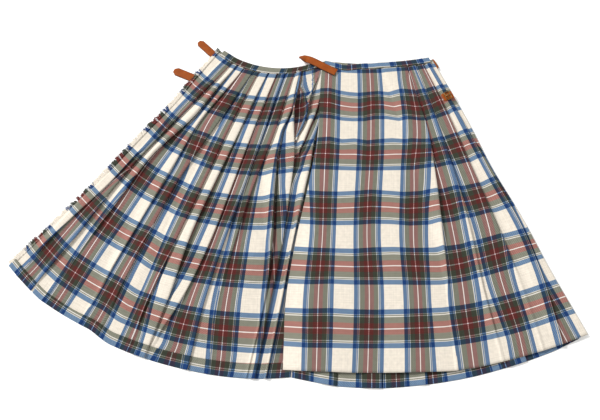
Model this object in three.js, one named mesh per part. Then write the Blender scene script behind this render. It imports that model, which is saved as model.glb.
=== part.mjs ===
// A kilt-style wrap skirt in a woven check, laid open on its back. Millimetres, +Z up, waist towards +Y.
// Left: the over apron and the knife-pleated back, swung open with the inside up.
// Right: the under apron, outside up, folded over the back at the skirt's right side.
import * as THREE from 'three';

// ---------------------------------------------------------------- driving sizes
const WALL = 1.1;                       // cloth thickness
const GAP = 0.3;                        // clearance between layers and at seams
const LAYER = WALL + GAP;               // from the middle of one layer to the next
const LEVEL = [0, 1, 2, 3, 4, 5].map((k) => WALL / 2 + k * LAYER);
const STATIONS = [37, 155, 275, 394, 515, 618];   // distances below the waist seam, for the tables
const ROWS = [-6, 37, 72, 108, 160, 225, 295, 370, 455, 555, 655];
const HEM = 655;                        // skirt length below the waist seam
const BAND = { above: 11.5, below: 2 }; // waistband's reach above and below the seam
const STRAP_THICK = 2.4;
const LEAST_TUCK = 3.2;                 // an opened pleat keeps this much as a soft ridge
// The rounded fold at the skirt's right side, and how far its lower end reaches back.
const SIDE = { radius: (LEVEL[4] - LEVEL[0]) / 2, inset: 3, tail: 19 };
const CENTRE = { x: -2.0, y: 377.9 };    // middle of the outline, taken as the part's origin

// The two fans of cloth: each spreads from a pivot above the waist.
const BACK_PIVOT = { x: 107, y: 1055 };
const APRON_PIVOT = { x: 120, y: 1150 };

// ---------------------------------------------------------------- tables
// Edges of the cloth: angle in degrees at each station, positive to the left on the back.
const FRINGE_EDGE = [40.1, 39.0, 38.9, 38.6, 38.7, 38.95];
const BACK_END = [7.0, 5.6, 5.6, 6.3, 6.6, 6.4];          // where the back passes under the apron
// Positive to the right on the apron.
const FREE_EDGE = [-7.2, -6.4, -6.6, -7.94, -7.8, -7.25];
const SIDE_FOLD = [23.2, 23.1, 22.6, 22.8, 22.6, 22.65];  // the skirt's right side

// Knife pleats of the fanned side, left to right: the folded edge's angle and the width
// of cloth tucked under it, at each station. A width of 0 is a pleat that has opened out.
const BACK_PLEATS = [
  { name: 'P0', edge: [37.2, 37.2, 37.0, 37.1, 37.65, 37.6], tuck: [0, 0, 0, 14, 8, 0], lift: 1 },
  { name: 'P1', edge: [34.85, 35.45, 36.05, 35.95, 35.4, 35.35], tuck: [20, 19, 27, 20, 12, 4], lift: 3 },
  { name: 'P2', edge: [33.15, 33.15, 34.7, 34.25, 33.9, 33.7], tuck: [30, 29, 20, 7, 3, 0], lift: 8 },
  { name: 'P3', edge: [31.0, 31.6, 30.65, 29.9, 29.35, 28.95], tuck: [25, 22, 10, 7, 4, 0], lift: 3 },
  { name: 'P4', edge: [27.9, 28.1, 28.45, 28.0, 27.3, 26.8], tuck: [28, 22, 13, 9, 5, 0], lift: 3 },
  { name: 'P5', edge: [26.0, 25.3, 24.5, 24.1, 23.65, 23.3], tuck: [20, 18, 18, 17, 8, 0], lift: 3 },
  { name: 'P6', edge: [23.55, 23.1, 22.8, 22.5, 21.6, 21.25], tuck: [30, 28, 24, 23, 20, 4], lift: 9 },
  { name: 'P7', edge: [20.9, 20.4, 19.92, 19.58, 19.95, 20.6], tuck: [27, 24, 23, 22, 17, 12], lift: 3 },
  { name: 'P8', edge: [18.55, 18.05, 17.85, 17.7, 17.45, 16.85], tuck: [22, 24, 26, 17, 13, 6], lift: 3 },
  { name: 'P9', edge: [15.87, 15.85, 16.4, 16.3, 16.1, 15.0], tuck: [20, 20, 7, 4, 0, 0], lift: 2 },
  { name: 'P10', edge: [14.4, 13.95, 12.6, 10.95, 10.4, 10.6], tuck: [30, 22, 14, 6, 0, 0], lift: 7 },
  { name: 'P11', edge: [12.7, 11.3, 9.95, 9.5, 9.7, 9.75], tuck: [22, 20, 35, 45, 60, 70], lift: 5 },
  { name: 'P12', edge: [8.9, 8.75, 7.2, 8.1, 8.35, 8.6], tuck: [0, 18, 14, 16, 14, 13], lift: 2 },
];
const PANEL_SPLIT = 7;                  // the over apron ends inside the tuck of the seventh pleat, P6

// Plain pleats of the back's hidden stretch, under the apron (degrees to the right).
const HIDDEN_PLEATS = [
  { name: 'H1', edge: [-1, -1.2, -1.4, -1.6, -1.8, -2], tuck: [14, 14, 14, 14, 12, 10], lift: 0 },
  { name: 'H2', edge: [4.4, 4.0, 3.5, 3.0, 2.6, 2.2], tuck: [14, 14, 14, 14, 12, 10], lift: 0 },
  { name: 'H3', edge: [10.2, 9.4, 8.6, 7.8, 7.1, 6.5], tuck: [14, 14, 14, 14, 12, 10], lift: 0 },
  { name: 'H4', edge: [17.4, 17, 16.7, 16.4, 16.1, 15.9], tuck: [14, 14, 14, 14, 12, 10], lift: 0 },
];

// Soft folds of the under apron, left to right, in degrees to the right.
const APRON_FOLDS = [
  { name: 'FA', edge: [15.3, 14.8, 13.25, 11.7, 10.4, 9.6], tuck: [34, 32, 24, 9, 0, 0], lift: 6 },
  { name: 'FB', edge: [17.6, 17.0, 16.3, 15.4, 14.35, 13.9], tuck: [18, 20, 18, 12, 10, 0], lift: 3 },
  { name: 'FC', edge: [19.9, 19.7, 19.3, 19.05, 18.6, 18.0], tuck: [24, 24, 18, 9, 0, 0], lift: 2 },
  { name: 'FD', edge: [21.75, 21.7, 21.3, 21.5, 21.2, 20.1], tuck: [10, 10, 10, 10, 16, 7], lift: 2 },
];

// The back's hem where it shows past the apron's hem: length below the seam line.
const BACK_HEM = {
  angle: [-8, -5, -2, 2, 6.5, 10, 15, 18.7, 22],
  length: [670, 677, 683, 684, 680, 676, 667, 660, 650],
};

// Leather straps: middle line from the sewn end to the tip, half width, and middle height at both ends.
const STRAPS = [
  { name: 'waist_strap', line: [[-166, 702], [-216, 752]], half: 8.6, low: [1.25, 1.25] },
  { name: 'hip_strap', line: [[-214, 653], [-267, 677]], half: 9.6, low: [1.25, 1.25] },
  { name: 'under_strap', line: [[95, 673], [52, 696], [11, 711]], half: 10.5, low: [9.8, 9.8, 7.0] },
];

// Leather tabs at the skirt's right side. The hip tab lies on the cloth, the waist tab stands at the fold.
const HIP_TAB = { down: 91, inward: 15, wide: 24, tall: 19, overFold: 1.35 };
const WAIST_TAB = { down: 4, tall: 26, high: 7, plate: 1.6 };
const BUCKLE = { wide: 12, tall: 23, bar: 1.8, thick: 2 };

// ---------------------------------------------------------------- small helpers
const clamp = (x, low, high) => Math.min(high, Math.max(low, x));
const ease = (x) => {
  const t = clamp(x, 0, 1);
  return t * t * (3 - 2 * t);
};

/** A smooth curve through a table's values, straight on past its ends. */
function along(values, at, places = STATIONS) {
  const last = places.length - 1;
  const slope = (i) => {
    const a = Math.max(0, i - 1);
    const b = Math.min(last, i + 1);
    return (values[b] - values[a]) / (places[b] - places[a]);
  };
  if (at <= places[0]) return values[0] + slope(0) * (at - places[0]);
  if (at >= places[last]) return values[last] + slope(last) * (at - places[last]);
  const i = places.findIndex((p) => p > at) - 1;
  const span = places[i + 1] - places[i];
  const t = (at - places[i]) / span;
  const start = (1 + 2 * t) * (1 - t) ** 2 * values[i] + t * (1 - t) ** 2 * span * slope(i);
  const finish = t * t * (3 - 2 * t) * values[i + 1] + t * t * (t - 1) * span * slope(i + 1);
  return start + finish;
}

const radians = THREE.MathUtils.degToRad;

/** Radius of the back's fan at an angle (degrees left) and a distance below the waist seam. */
function backRadius(angle, down) {
  const seam = 434 - 0.064 * (40 - angle) ** 2;
  return seam + down * (1.02 - 0.00215 * (angle - 13));
}

/** The over apron's hem is about a centimetre shorter than the back's. */
function backLength(angle, down) {
  const hem = HEM - 9 * ease((angle - 25) / 3);
  return down * (down > 0 ? hem / HEM : 1);
}

function backPlace(angle, down) {
  const r = backRadius(angle, backLength(angle, down));
  return [BACK_PIVOT.x - r * Math.sin(radians(angle)), BACK_PIVOT.y - r * Math.cos(radians(angle))];
}

function apronPlace(angle, down) {
  const r = down + 464 + 0.6 * angle + 0.02 * angle * angle;
  return [APRON_PIVOT.x + r * Math.sin(radians(angle)), APRON_PIVOT.y - r * Math.cos(radians(angle))];
}

/** The back's hidden stretch: the apron's fan, with the back's own longer hem. */
function underPlace(angle, down) {
  const hem = along(BACK_HEM.length, clamp(angle, -8, 22), BACK_HEM.angle);
  return apronPlace(angle, down > 0 ? down * hem / HEM : down);
}

/** Millimetres of arc for one degree, at a row. */
const backArc = (down) => radians(1) * backRadius(23, down);
const apronArc = (down) => radians(1) * (down + 474);

// ---------------------------------------------------------------- folded cloth in section
/**
 * One row of cloth with its knife folds, as places along the arc (mm) and heights (mm).
 * The cloth runs from start to end; at each fold it lies on top up to the folded edge,
 * goes back under by the tuck, and comes out again at the bottom.
 */
function foldedRow({ start, end, folds, down, base, arc, sign }) {
  const path = [[start, base]];
  let free = start;
  const liftOn = ease((down - 40) / 90);
  for (const fold of folds) {
    const edge = sign * along(fold.edge, down) * arc;
    const back = clamp(along(fold.tuck, down), LEAST_TUCK, Math.max(1, edge - free - 6));
    const middle = base + LAYER + fold.lift * liftOn * 0.35;
    const top = base + 2 * LAYER + fold.lift * liftOn;
    const reach = Math.min((top - middle) / 2, Math.max(0.7, back / 2));
    const inner = Math.min(reach, back * 0.4);
    const foot = Math.max(free + 1, edge - back - 12);
    if (fold.lift > 0) path.push([foot, base]);
    path.push([Math.max(foot + 1, edge - back - 1), top]);
    path.push([edge - reach, top]);
    path.push([edge, (top + middle) / 2]);
    path.push([edge - inner, middle + 0.05]);
    path.push([edge - back + inner, middle - 0.05]);
    path.push([edge - back, (middle + base) / 2]);
    path.push([edge - back + Math.min(reach, LAYER / 2), base]);
    free = edge + 1.6;
    path.push([free, base]);
  }
  path.push([end, base]);
  return path;
}

// ---------------------------------------------------------------- walls from rows of points
/**
 * A closed wall of cloth round a grid of points: rows run down the cloth, columns across it.
 * Each point moves half the thickness out on both sides, mitred at the folds.
 */
function wallFrom(rows, thick) {
  const m = rows.length;
  const n = rows[0].length;
  const at = (i, j) => rows[clamp(i, 0, m - 1)][clamp(j, 0, n - 1)];
  const over = [];
  const under = [];
  for (let i = 0; i < m; i += 1) {
    for (let j = 0; j < n; j += 1) {
      const p = at(i, j);
      const downwards = new THREE.Vector3().subVectors(at(i + 1, j), at(i - 1, j)).normalize();
      const sides = [];
      if (j > 0) sides.push(new THREE.Vector3().subVectors(p, at(i, j - 1)));
      if (j < n - 1) sides.push(new THREE.Vector3().subVectors(at(i, j + 1), p));
      const faces = sides.map((side) => side.normalize().clone().cross(downwards).normalize().negate());
      const normal = faces.reduce((sum, face) => sum.add(face), new THREE.Vector3()).normalize();
      const mitre = 1 / Math.max(0.7, normal.dot(faces[0]));
      over.push(p.clone().addScaledVector(normal, thick / 2 * mitre));
      under.push(p.clone().addScaledVector(normal, -thick / 2 * mitre));
    }
  }
  const index = [];
  const id = (side, i, j) => side * m * n + i * n + j;
  const quad = (a, b, c, d) => index.push(a, b, c, a, c, d);
  for (let i = 0; i < m - 1; i += 1) {
    for (let j = 0; j < n - 1; j += 1) {
      quad(id(0, i, j), id(0, i + 1, j), id(0, i + 1, j + 1), id(0, i, j + 1));
      quad(id(1, i, j), id(1, i, j + 1), id(1, i + 1, j + 1), id(1, i + 1, j));
    }
    quad(id(0, i, 0), id(1, i, 0), id(1, i + 1, 0), id(0, i + 1, 0));
    quad(id(0, i, n - 1), id(0, i + 1, n - 1), id(1, i + 1, n - 1), id(1, i, n - 1));
  }
  for (let j = 0; j < n - 1; j += 1) {
    quad(id(0, 0, j), id(0, 0, j + 1), id(1, 0, j + 1), id(1, 0, j));
    quad(id(0, m - 1, j), id(1, m - 1, j), id(1, m - 1, j + 1), id(0, m - 1, j + 1));
  }
  const geometry = new THREE.BufferGeometry();
  geometry.setFromPoints([...over, ...under]);
  geometry.setIndex(index);
  return geometry;
}

const point = (x, y, z) => new THREE.Vector3(x - CENTRE.x, y - CENTRE.y, z);

function cloth(color) {
  return new THREE.MeshStandardMaterial({ color, roughness: 0.95, metalness: 0, side: THREE.DoubleSide });
}

function piece(name, geometry, material) {
  geometry.computeVertexNormals();
  const mesh = new THREE.Mesh(geometry, material);
  mesh.name = name;
  return mesh;
}

// ---------------------------------------------------------------- the fanned side
/** How far a strap sewn beneath lifts the cloth near the fringed edge. */
function overStrap(angle, down) {
  const inward = (along(FRINGE_EDGE, down) - angle) * backArc(down);
  const near = 1 - ease((inward - 22) / 25);
  const hip = 1 - ease((Math.abs(down - 90) - 16) / 22);
  const waist = 1 - ease((down - 40) / 30);
  return (STRAP_THICK + GAP) * near * Math.max(hip, waist);
}

/** One row of the whole fanned side, from the fringed edge to where it passes under the apron. */
function backRow(down) {
  const arc = backArc(down);
  const start = -along(FRINGE_EDGE, down) * arc;
  const end = -along(BACK_END, down) * arc;
  return foldedRow({ start, end, folds: BACK_PLEATS, down, base: LEVEL[0], arc, sign: -1 })
    .map(([across, height]) => {
      const angle = -across / arc;
      return point(...backPlace(angle, down), height + overStrap(angle, down));
    });
}

/** Points of a row up to the end of the middle layer inside the tuck where the panels meet. */
const PANEL_POINTS = PANEL_SPLIT * 9 - 2;

/** The over apron ends inside the tuck of its last pleat, on the middle layer. */
function overApron() {
  const rows = ROWS.map((down) => backRow(down).slice(0, PANEL_POINTS));
  return piece('over_apron', wallFrom(rows, WALL), cloth(0x7f7a78));
}

/** The pleated back starts on the bottom layer of that pleat and runs on under the apron to the side. */
function pleatedBack() {
  const rows = ROWS.map((down) => {
    const shown = backRow(down).slice(PANEL_POINTS + 1);
    const arc = apronArc(down);
    const start = (along(FREE_EDGE, down) + 2.5) * arc;
    const end = along(SIDE_FOLD, down) * arc - SIDE.tail - 1;
    const hidden = foldedRow({ start, end, folds: HIDDEN_PLEATS, down, base: LEVEL[0], arc, sign: 1 })
      .map(([across, height]) => point(...underPlace(across / arc, down), height));
    return [...shown, ...hidden];
  });
  return piece('pleated_back', wallFrom(rows, WALL), cloth(0x77706c));
}

/** The self-fringe along the over apron's free edge: a plain solid of its reach. */
function fringe() {
  const reach = 8.5;
  const rows = ROWS.map((down) => [reach, reach / 2, GAP].map((out) => {
    const arc = backArc(down);
    const angle = along(FRINGE_EDGE, down) + out / arc;
    return point(...backPlace(angle, down), LEVEL[0] + overStrap(angle, down));
  }));
  return piece('fringe', wallFrom(rows, WALL), cloth(0xd8cfc0));
}

/** The waistband's inner face lies over the pleats' top edges and runs on under the apron. */
function innerWaistband() {
  const shown = [38.9, 38.2, 37.4, 36.6, 35.8, 35, 34, 32, 29, 26, 23, 20, 17, 14, 11.5, 9.5];
  const hidden = [-5.5, -2, 2, 6, 10, 14, 18, 20.5];
  const rows = [-BAND.above, BAND.below].map((down) => [
    ...shown.map((angle) => point(...backPlace(angle, down), LEVEL[3] + overStrap(angle, down))),
    ...hidden.map((angle) => point(...apronPlace(angle, down), LEVEL[3])),
  ]);
  return piece('inner_waistband', wallFrom(rows, WALL), cloth(0x5c615a));
}

// ---------------------------------------------------------------- the under apron
/** Soft flutes of the apron between its folds, fading towards its edges and the waist. */
function flute(angle, down) {
  const left = ease((angle - along(FREE_EDGE, down)) / 3);
  const right = ease((12 - angle) / 3);
  return 3 * left * right * ease(down / 120) * (1 - Math.cos(radians(angle - 1.5) * 38)) / 2;
}

function underApron() {
  const rows = ROWS.map((down) => {
    const arc = apronArc(down);
    const left = along(FREE_EDGE, down);
    const side = along(SIDE_FOLD, down) * arc;
    const path = foldedRow({
      start: left * arc, end: side - SIDE.inset - 0.4, folds: APRON_FOLDS, down, base: LEVEL[4], arc, sign: 1,
    });
    const [first, ...rest] = path;
    const steps = 6;
    const smooth = [];
    for (let k = 1; k < steps; k += 1) {
      smooth.push([first[0] + (rest[0][0] - first[0]) * k / steps, LEVEL[4]]);
    }
    const nose = [];
    for (let k = 1; k <= 5; k += 1) {
      const turn = Math.PI * k / 5;
      const out = SIDE.radius * Math.sin(turn);
      nose.push([side - SIDE.inset + out, LEVEL[0] + SIDE.radius * (1 + Math.cos(turn))]);
    }
    nose.push([side - SIDE.tail, LEVEL[0]]);
    return [first, ...smooth, ...rest, ...nose].map(([across, height]) => {
      const angle = across / arc;
      return point(...apronPlace(angle, down), height + flute(angle, down));
    });
  });
  return piece('under_apron', wallFrom(rows, WALL), cloth(0x8c8684));
}

function apronWaistband() {
  const angles = [-7, -3, 0, 3, 6, 7.5, 8.5, 9.5, 12, 15, 18, 20, 22];
  const rows = [-BAND.above, BAND.below].map((down) => angles.map((angle) => {
    const overFolds = 2 * LAYER * ease((angle - 6) / 3);
    return point(...apronPlace(angle, down), LEVEL[5] + overFolds);
  }));
  return piece('apron_waistband', wallFrom(rows, WALL), cloth(0x5a6675));
}

// ---------------------------------------------------------------- leather and buckles
const leather = () => new THREE.MeshStandardMaterial({ color: 0xb56a2c, roughness: 0.55, metalness: 0 });
const steel = () => new THREE.MeshStandardMaterial({ color: 0xb9b6ae, roughness: 0.35, metalness: 1 });

/** A strap: a flat tongue along its middle line, rounded at the tip. */
function strap({ name, line, half, low }) {
  const lengths = [0];
  for (let k = 1; k < line.length; k += 1) {
    lengths.push(lengths[k - 1] + Math.hypot(line[k][0] - line[k - 1][0], line[k][1] - line[k - 1][1]));
  }
  const total = lengths[lengths.length - 1];
  const place = (s) => [0, 1].map((c) => along(line.map((p) => p[c]), s, lengths));
  const steps = 14;
  const rows = [];
  for (let k = 0; k <= steps; k += 1) {
    const s = total * Math.sin(Math.PI / 2 * k / steps);
    const [x, y] = place(s);
    const [ahead, behind] = [place(s + 0.5), place(s - 0.5)];
    const across = new THREE.Vector2(ahead[1] - behind[1], behind[0] - ahead[0]).normalize();
    const round = Math.max(0, s - (total - half)) / half;
    const wide = half * Math.max(0.25, Math.sqrt(Math.max(0, 1 - round * round)));
    const height = along(low, s, lengths);
    rows.push([-1, -0.5, 0, 0.5, 1].map((side) => (
      point(x + across.x * wide * side, y + across.y * wide * side, height)
    )));
  }
  return piece(name, wallFrom(rows.map((row) => row.reverse()), STRAP_THICK), leather());
}

/** A block in the apron's fan, turned with the cloth: across, down and up sizes. */
function placedOnApron(geometry, angle, down, height) {
  const [x, y] = apronPlace(angle, down);
  geometry.rotateZ(radians(angle));
  geometry.translate(x - CENTRE.x, y - CENTRE.y, height);
  return geometry;
}

/** A flat buckle frame: two narrow windows with a bar between them. */
function buckleFrame({ wide, tall, bar, thick }) {
  const outline = (left, right, low, high) => [[left, low], [right, low], [right, high], [left, high]]
    .map(([x, y]) => new THREE.Vector2(x, y));
  const shape = new THREE.Shape(outline(-wide / 2, wide / 2, -tall / 2, tall / 2));
  const high = tall / 2 - bar;
  shape.holes.push(new THREE.Path(outline(-wide / 2 + bar, -bar / 2, -high, high).reverse()));
  shape.holes.push(new THREE.Path(outline(bar / 2, wide / 2 - bar, 0.5 - high, high - 0.5).reverse()));
  return new THREE.ExtrudeGeometry(shape, { depth: thick, bevelEnabled: false });
}

/** Leather tab and buckle frame on the apron near its side fold, at hip height. */
function hipBuckle() {
  const { down, inward, wide, tall } = HIP_TAB;
  const angle = along(SIDE_FOLD, down) - inward / apronArc(down);
  const floor = LEVEL[4] + 2 * LAYER + HIP_TAB.overFold + WALL / 2 + GAP;
  const tab = new THREE.BoxGeometry(wide, tall, STRAP_THICK);
  const frame = buckleFrame(BUCKLE);
  return [
    piece('hip_buckle_tab', placedOnApron(tab, angle, down, floor + STRAP_THICK / 2), leather()),
    piece('hip_buckle', placedOnApron(frame, angle, down, floor + STRAP_THICK + GAP), steel()),
  ];
}

/** Leather tab and buckle at the waist, standing at the side fold. */
function waistBuckle() {
  const { down, tall, high, plate } = WAIST_TAB;
  const arc = apronArc(down);
  const nose = along(SIDE_FOLD, down) + (SIDE.radius - SIDE.inset + WALL / 2) / arc;
  const tab = new THREE.BoxGeometry(STRAP_THICK, tall, high);
  const frame = new THREE.BoxGeometry(plate, tall - 6, high - 2);
  const outside = nose + (STRAP_THICK / 2 + GAP) / arc;
  const further = nose + (STRAP_THICK + 2 * GAP + plate / 2) / arc;
  const middle = high / 2 + 0.1;
  return [
    piece('waist_buckle_tab', placedOnApron(tab, outside, down, middle), leather()),
    piece('waist_buckle', placedOnApron(frame, further, down, middle), steel()),
  ];
}

// ---------------------------------------------------------------- the skirt
const skirt = new THREE.Group();
skirt.add(overApron());
skirt.add(pleatedBack());
skirt.add(fringe());
skirt.add(innerWaistband());
skirt.add(underApron());
skirt.add(apronWaistband());
STRAPS.forEach((row) => skirt.add(strap(row)));
hipBuckle().forEach((mesh) => skirt.add(mesh));
waistBuckle().forEach((mesh) => skirt.add(mesh));

export default skirt;
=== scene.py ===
"""A kilt-style wrap skirt in a woven check, laid open on its back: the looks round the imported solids.

Left: the over apron and the knife-pleated back, swung open with the inside up.
Right: the under apron, outside up, folded over the back at the skirt's right side.
Sizes are millimetres in the part's frame, +Z up, and become metres where a mesh is made.
"""

import logging
import math
import random
from dataclasses import dataclass
from enum import Enum

import bmesh
import bpy
import numpy as np
from mathutils import Matrix, Vector


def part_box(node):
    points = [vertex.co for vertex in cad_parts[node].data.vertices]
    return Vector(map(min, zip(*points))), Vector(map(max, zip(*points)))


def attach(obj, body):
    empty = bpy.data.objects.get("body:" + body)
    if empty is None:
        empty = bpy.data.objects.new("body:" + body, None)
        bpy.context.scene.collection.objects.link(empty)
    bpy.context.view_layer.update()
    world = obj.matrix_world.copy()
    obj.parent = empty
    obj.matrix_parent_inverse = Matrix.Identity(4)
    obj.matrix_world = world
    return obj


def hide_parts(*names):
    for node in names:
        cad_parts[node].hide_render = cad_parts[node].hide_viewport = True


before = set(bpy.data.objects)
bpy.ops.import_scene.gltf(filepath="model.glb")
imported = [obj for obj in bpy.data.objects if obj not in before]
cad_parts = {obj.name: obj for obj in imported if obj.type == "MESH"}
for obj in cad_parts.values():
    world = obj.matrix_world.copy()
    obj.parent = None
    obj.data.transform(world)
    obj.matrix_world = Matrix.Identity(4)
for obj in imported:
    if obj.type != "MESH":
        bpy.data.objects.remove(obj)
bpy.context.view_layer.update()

LOG = logging.getLogger("checked_skirt")

MM = 0.001                                # metres in a millimetre
BODY = "root"
WEAVE_MAP = "weave"                       # UV map that keeps the cloth's own columns and rows
WIDTH_MAP = "width"                       # UV map that keeps how far out on a strap a point lies
MIX_A, MIX_B, MIX_OUT = 6, 7, 2           # the colour sockets of a Mix node

# The same driving sizes as the solids.
WALL = 1.1                                # cloth thickness
LAYER = 1.4                               # from the middle of one layer to the next
LEVEL = [WALL / 2 + k * LAYER for k in range(6)]
STATIONS = (37, 155, 275, 394, 515, 618)  # distances below the waist seam, for the tables
HEM = 655.0                               # skirt length below the waist seam
BAND_ABOVE = 11.5                         # the waistband's reach above the seam
BAND_BELOW = 2.0                          # and below it
STRAP_THICK = 2.4
CENTRE = (-2.0, 377.9)                    # middle of the outline, the part's origin
PANEL_ABOVE = 6.0                         # how far the panels run up behind the waistband
ROW_PITCH = 5.5                           # from one row of the cloth's mesh to the next


# ---------------------------------------------------------------- curves through tables
def ease(x: float | np.ndarray) -> float | np.ndarray:
    """Smooth step from 0 to 1.

    Args:
        x: where along the step, 0 at its start and 1 at its end.

    Returns:
        The eased value, held at 0 and 1 outside the step.
    """
    t = np.clip(x, 0.0, 1.0)
    return t * t * (3 - 2 * t)


def along(values: tuple[float, ...], at: float, places: tuple[float, ...] = STATIONS) -> float:
    """A smooth curve through a table's values, straight on past its ends.

    Args:
        values: one value for each place.
        at: where to read the curve.
        places: the table's places, rising.

    Returns:
        The value of the curve.
    """
    last = len(places) - 1

    def slope(i: int) -> float:
        """Slope of the curve at one of the places."""
        a, b = max(0, i - 1), min(last, i + 1)
        return (values[b] - values[a]) / (places[b] - places[a])

    if at <= places[0]:
        return values[0] + slope(0) * (at - places[0])
    if at >= places[last]:
        return values[last] + slope(last) * (at - places[last])
    i = next(k for k, place in enumerate(places) if place > at) - 1
    span = places[i + 1] - places[i]
    return float(hermite(values[i], slope(i), values[i + 1], slope(i + 1), span, (at - places[i]) / span))


def hermite(first: float, leave: float, last: float, arrive: float, span: float,
            t: float | np.ndarray) -> float | np.ndarray:
    """A cubic from one height to another with a slope at each end.

    Args:
        first: height at the start.
        leave: slope at the start.
        last: height at the end.
        arrive: slope at the end.
        span: length of the stretch.
        t: how far along it, 0 to 1.

    Returns:
        The height at t.
    """
    start = (1 + 2 * t) * (1 - t) ** 2 * first + t * (1 - t) ** 2 * span * leave
    finish = t * t * (3 - 2 * t) * last + t * t * (t - 1) * span * arrive
    return start + finish


# ---------------------------------------------------------------- finishes
class Yarn(Enum):
    """Yarn colours of the cloth, as sRGB hex."""

    CREAM = "D0C7B9"
    BLUE = "15325F"
    GREY = "8A8A84"
    PALE = "B9B8B5"
    GREEN = "30342A"
    RED = "56201C"
    DARK_RED = "462120"
    WHITE = "CDCBCC"


class Held(Enum):
    """How a sheet of cloth is held."""

    LAID = "laid"


def linear(code: str) -> tuple[float, float, float, float]:
    """Linear colour of an sRGB hex value.

    Args:
        code: six hex digits.

    Returns:
        Red, green, blue and an alpha of 1, linear.
    """
    parts = [int(code[k:k + 2], 16) / 255 for k in (0, 2, 4)]
    turned = [c / 12.92 if c <= 0.04045 else ((c + 0.055) / 1.055) ** 2.4 for c in parts]
    return (*turned, 1.0)


def add_node(tree: bpy.types.NodeTree, kind: str, feeds: dict | None = None,
             **settings: object) -> bpy.types.Node:
    """Add a node with its settings, constants and links.

    Args:
        tree: the material's node tree.
        kind: the node's type.
        feeds: for each input, by name or number, a socket to link or a value to set.
        **settings: attributes of the node.

    Returns:
        The new node.
    """
    node = tree.nodes.new(kind)
    for name, value in settings.items():
        setattr(node, name, value)
    for socket, value in (feeds or {}).items():
        if isinstance(value, bpy.types.NodeSocket):
            tree.links.new(value, node.inputs[socket])
        else:
            node.inputs[socket].default_value = value
    return node


def new_material(name: str) -> tuple[bpy.types.Material, bpy.types.NodeTree, bpy.types.Node]:
    """An empty node material with its output.

    Args:
        name: the material's name.

    Returns:
        The material, its node tree and its output node.
    """
    material = bpy.data.materials.new(name)
    material.use_nodes = True
    material.node_tree.nodes.clear()
    return material, material.node_tree, add_node(material.node_tree, "ShaderNodeOutputMaterial")


def weave_places(tree: bpy.types.NodeTree) -> tuple[bpy.types.NodeSocket, bpy.types.NodeSocket]:
    """Nodes for the cloth's own column and row at a point.

    Args:
        tree: the material's node tree.

    Returns:
        Sockets with the millimetres across and down the cloth.
    """
    uv = add_node(tree, "ShaderNodeUVMap", uv_map=WEAVE_MAP)
    scaled = add_node(tree, "ShaderNodeVectorMath", {
        0: uv.outputs[0], 1: (1 / MM, 1 / MM, 0.0),
    }, operation="MULTIPLY")
    places = add_node(tree, "ShaderNodeSeparateXYZ", {0: scaled.outputs[0]})
    return places.outputs[0], places.outputs[1]


def patches(tree: bpy.types.NodeTree, place: bpy.types.NodeSocket, size: float, tones: tuple[float, float],
            fineness: tuple[float, float] = (2.0, 0.5), lowest: float = 0.3
            ) -> tuple[bpy.types.NodeSocket, bpy.types.NodeSocket]:
    """Nodes for soft patches all over a piece, and a factor that varies with them.

    Args:
        tree: the material's node tree.
        place: socket with the place on the piece.
        size: millimetres across a patch.
        tones: the factor's lowest and highest value.
        fineness: detail and roughness of the patches.
        lowest: height of the patches up to which the factor stays at its lowest value.

    Returns:
        Sockets with the patches' height and with the factor.
    """
    noise = add_node(tree, "ShaderNodeTexNoise", {
        "Vector": place, "Scale": 1 / (size * MM), "Detail": fineness[0], "Roughness": fineness[1],
    })
    factor = add_node(tree, "ShaderNodeMapRange", {
        "Value": noise.outputs[0], "From Min": lowest, "From Max": 0.7,
        "To Min": tones[0], "To Max": tones[1],
    })
    return noise.outputs[0], factor.outputs[0]


@dataclass(frozen=True)
class Stripe:
    """One stripe of a check: its yarn and its width in millimetres."""

    yarn: Yarn
    width: float


@dataclass(frozen=True)
class Sett:
    """Half of a mirrored stripe repeat, from the middle of the cream stripe to that of the white line."""

    stripes: tuple[Stripe, ...]
    cream_at: float = 0.0

    @property
    def half(self) -> float:
        """Half of the repeat, in millimetres."""
        return sum(stripe.width for stripe in self.stripes)

    def colour(self, tree: bpy.types.NodeTree, place: bpy.types.NodeSocket) -> bpy.types.NodeSocket:
        """Nodes for the yarn colour at a place across the stripes.

        Args:
            tree: the material's node tree.
            place: socket with the distance across the stripes, in millimetres.

        Returns:
            The colour socket.
        """
        moved = add_node(tree, "ShaderNodeMath", {0: place, 1: self.cream_at}, operation="SUBTRACT")
        folded = add_node(tree, "ShaderNodeMath", {0: moved.outputs[0], 1: self.half}, operation="PINGPONG")
        share = add_node(tree, "ShaderNodeMath", {0: folded.outputs[0], 1: self.half}, operation="DIVIDE")
        ramp = add_node(tree, "ShaderNodeValToRGB", {0: share.outputs[0]})
        ramp.color_ramp.interpolation = "CONSTANT"
        start = 0.0
        for number, stripe in enumerate(self.stripes):
            if number < 2:
                element = ramp.color_ramp.elements[number]
                element.position = start / self.half
            else:
                element = ramp.color_ramp.elements.new(start / self.half)
            element.color = linear(stripe.yarn.value)
            start += stripe.width
        return ramp.outputs[0]


# Across the cloth the repeat is 95 mm.
WARP_SETT = Sett((
    Stripe(Yarn.CREAM, 18.6), Stripe(Yarn.BLUE, 7.3), Stripe(Yarn.GREY, 1.1), Stripe(Yarn.BLUE, 1.6),
    Stripe(Yarn.PALE, 1.3), Stripe(Yarn.GREEN, 8.9), Stripe(Yarn.DARK_RED, 7.9), Stripe(Yarn.WHITE, 0.8),
))
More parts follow.
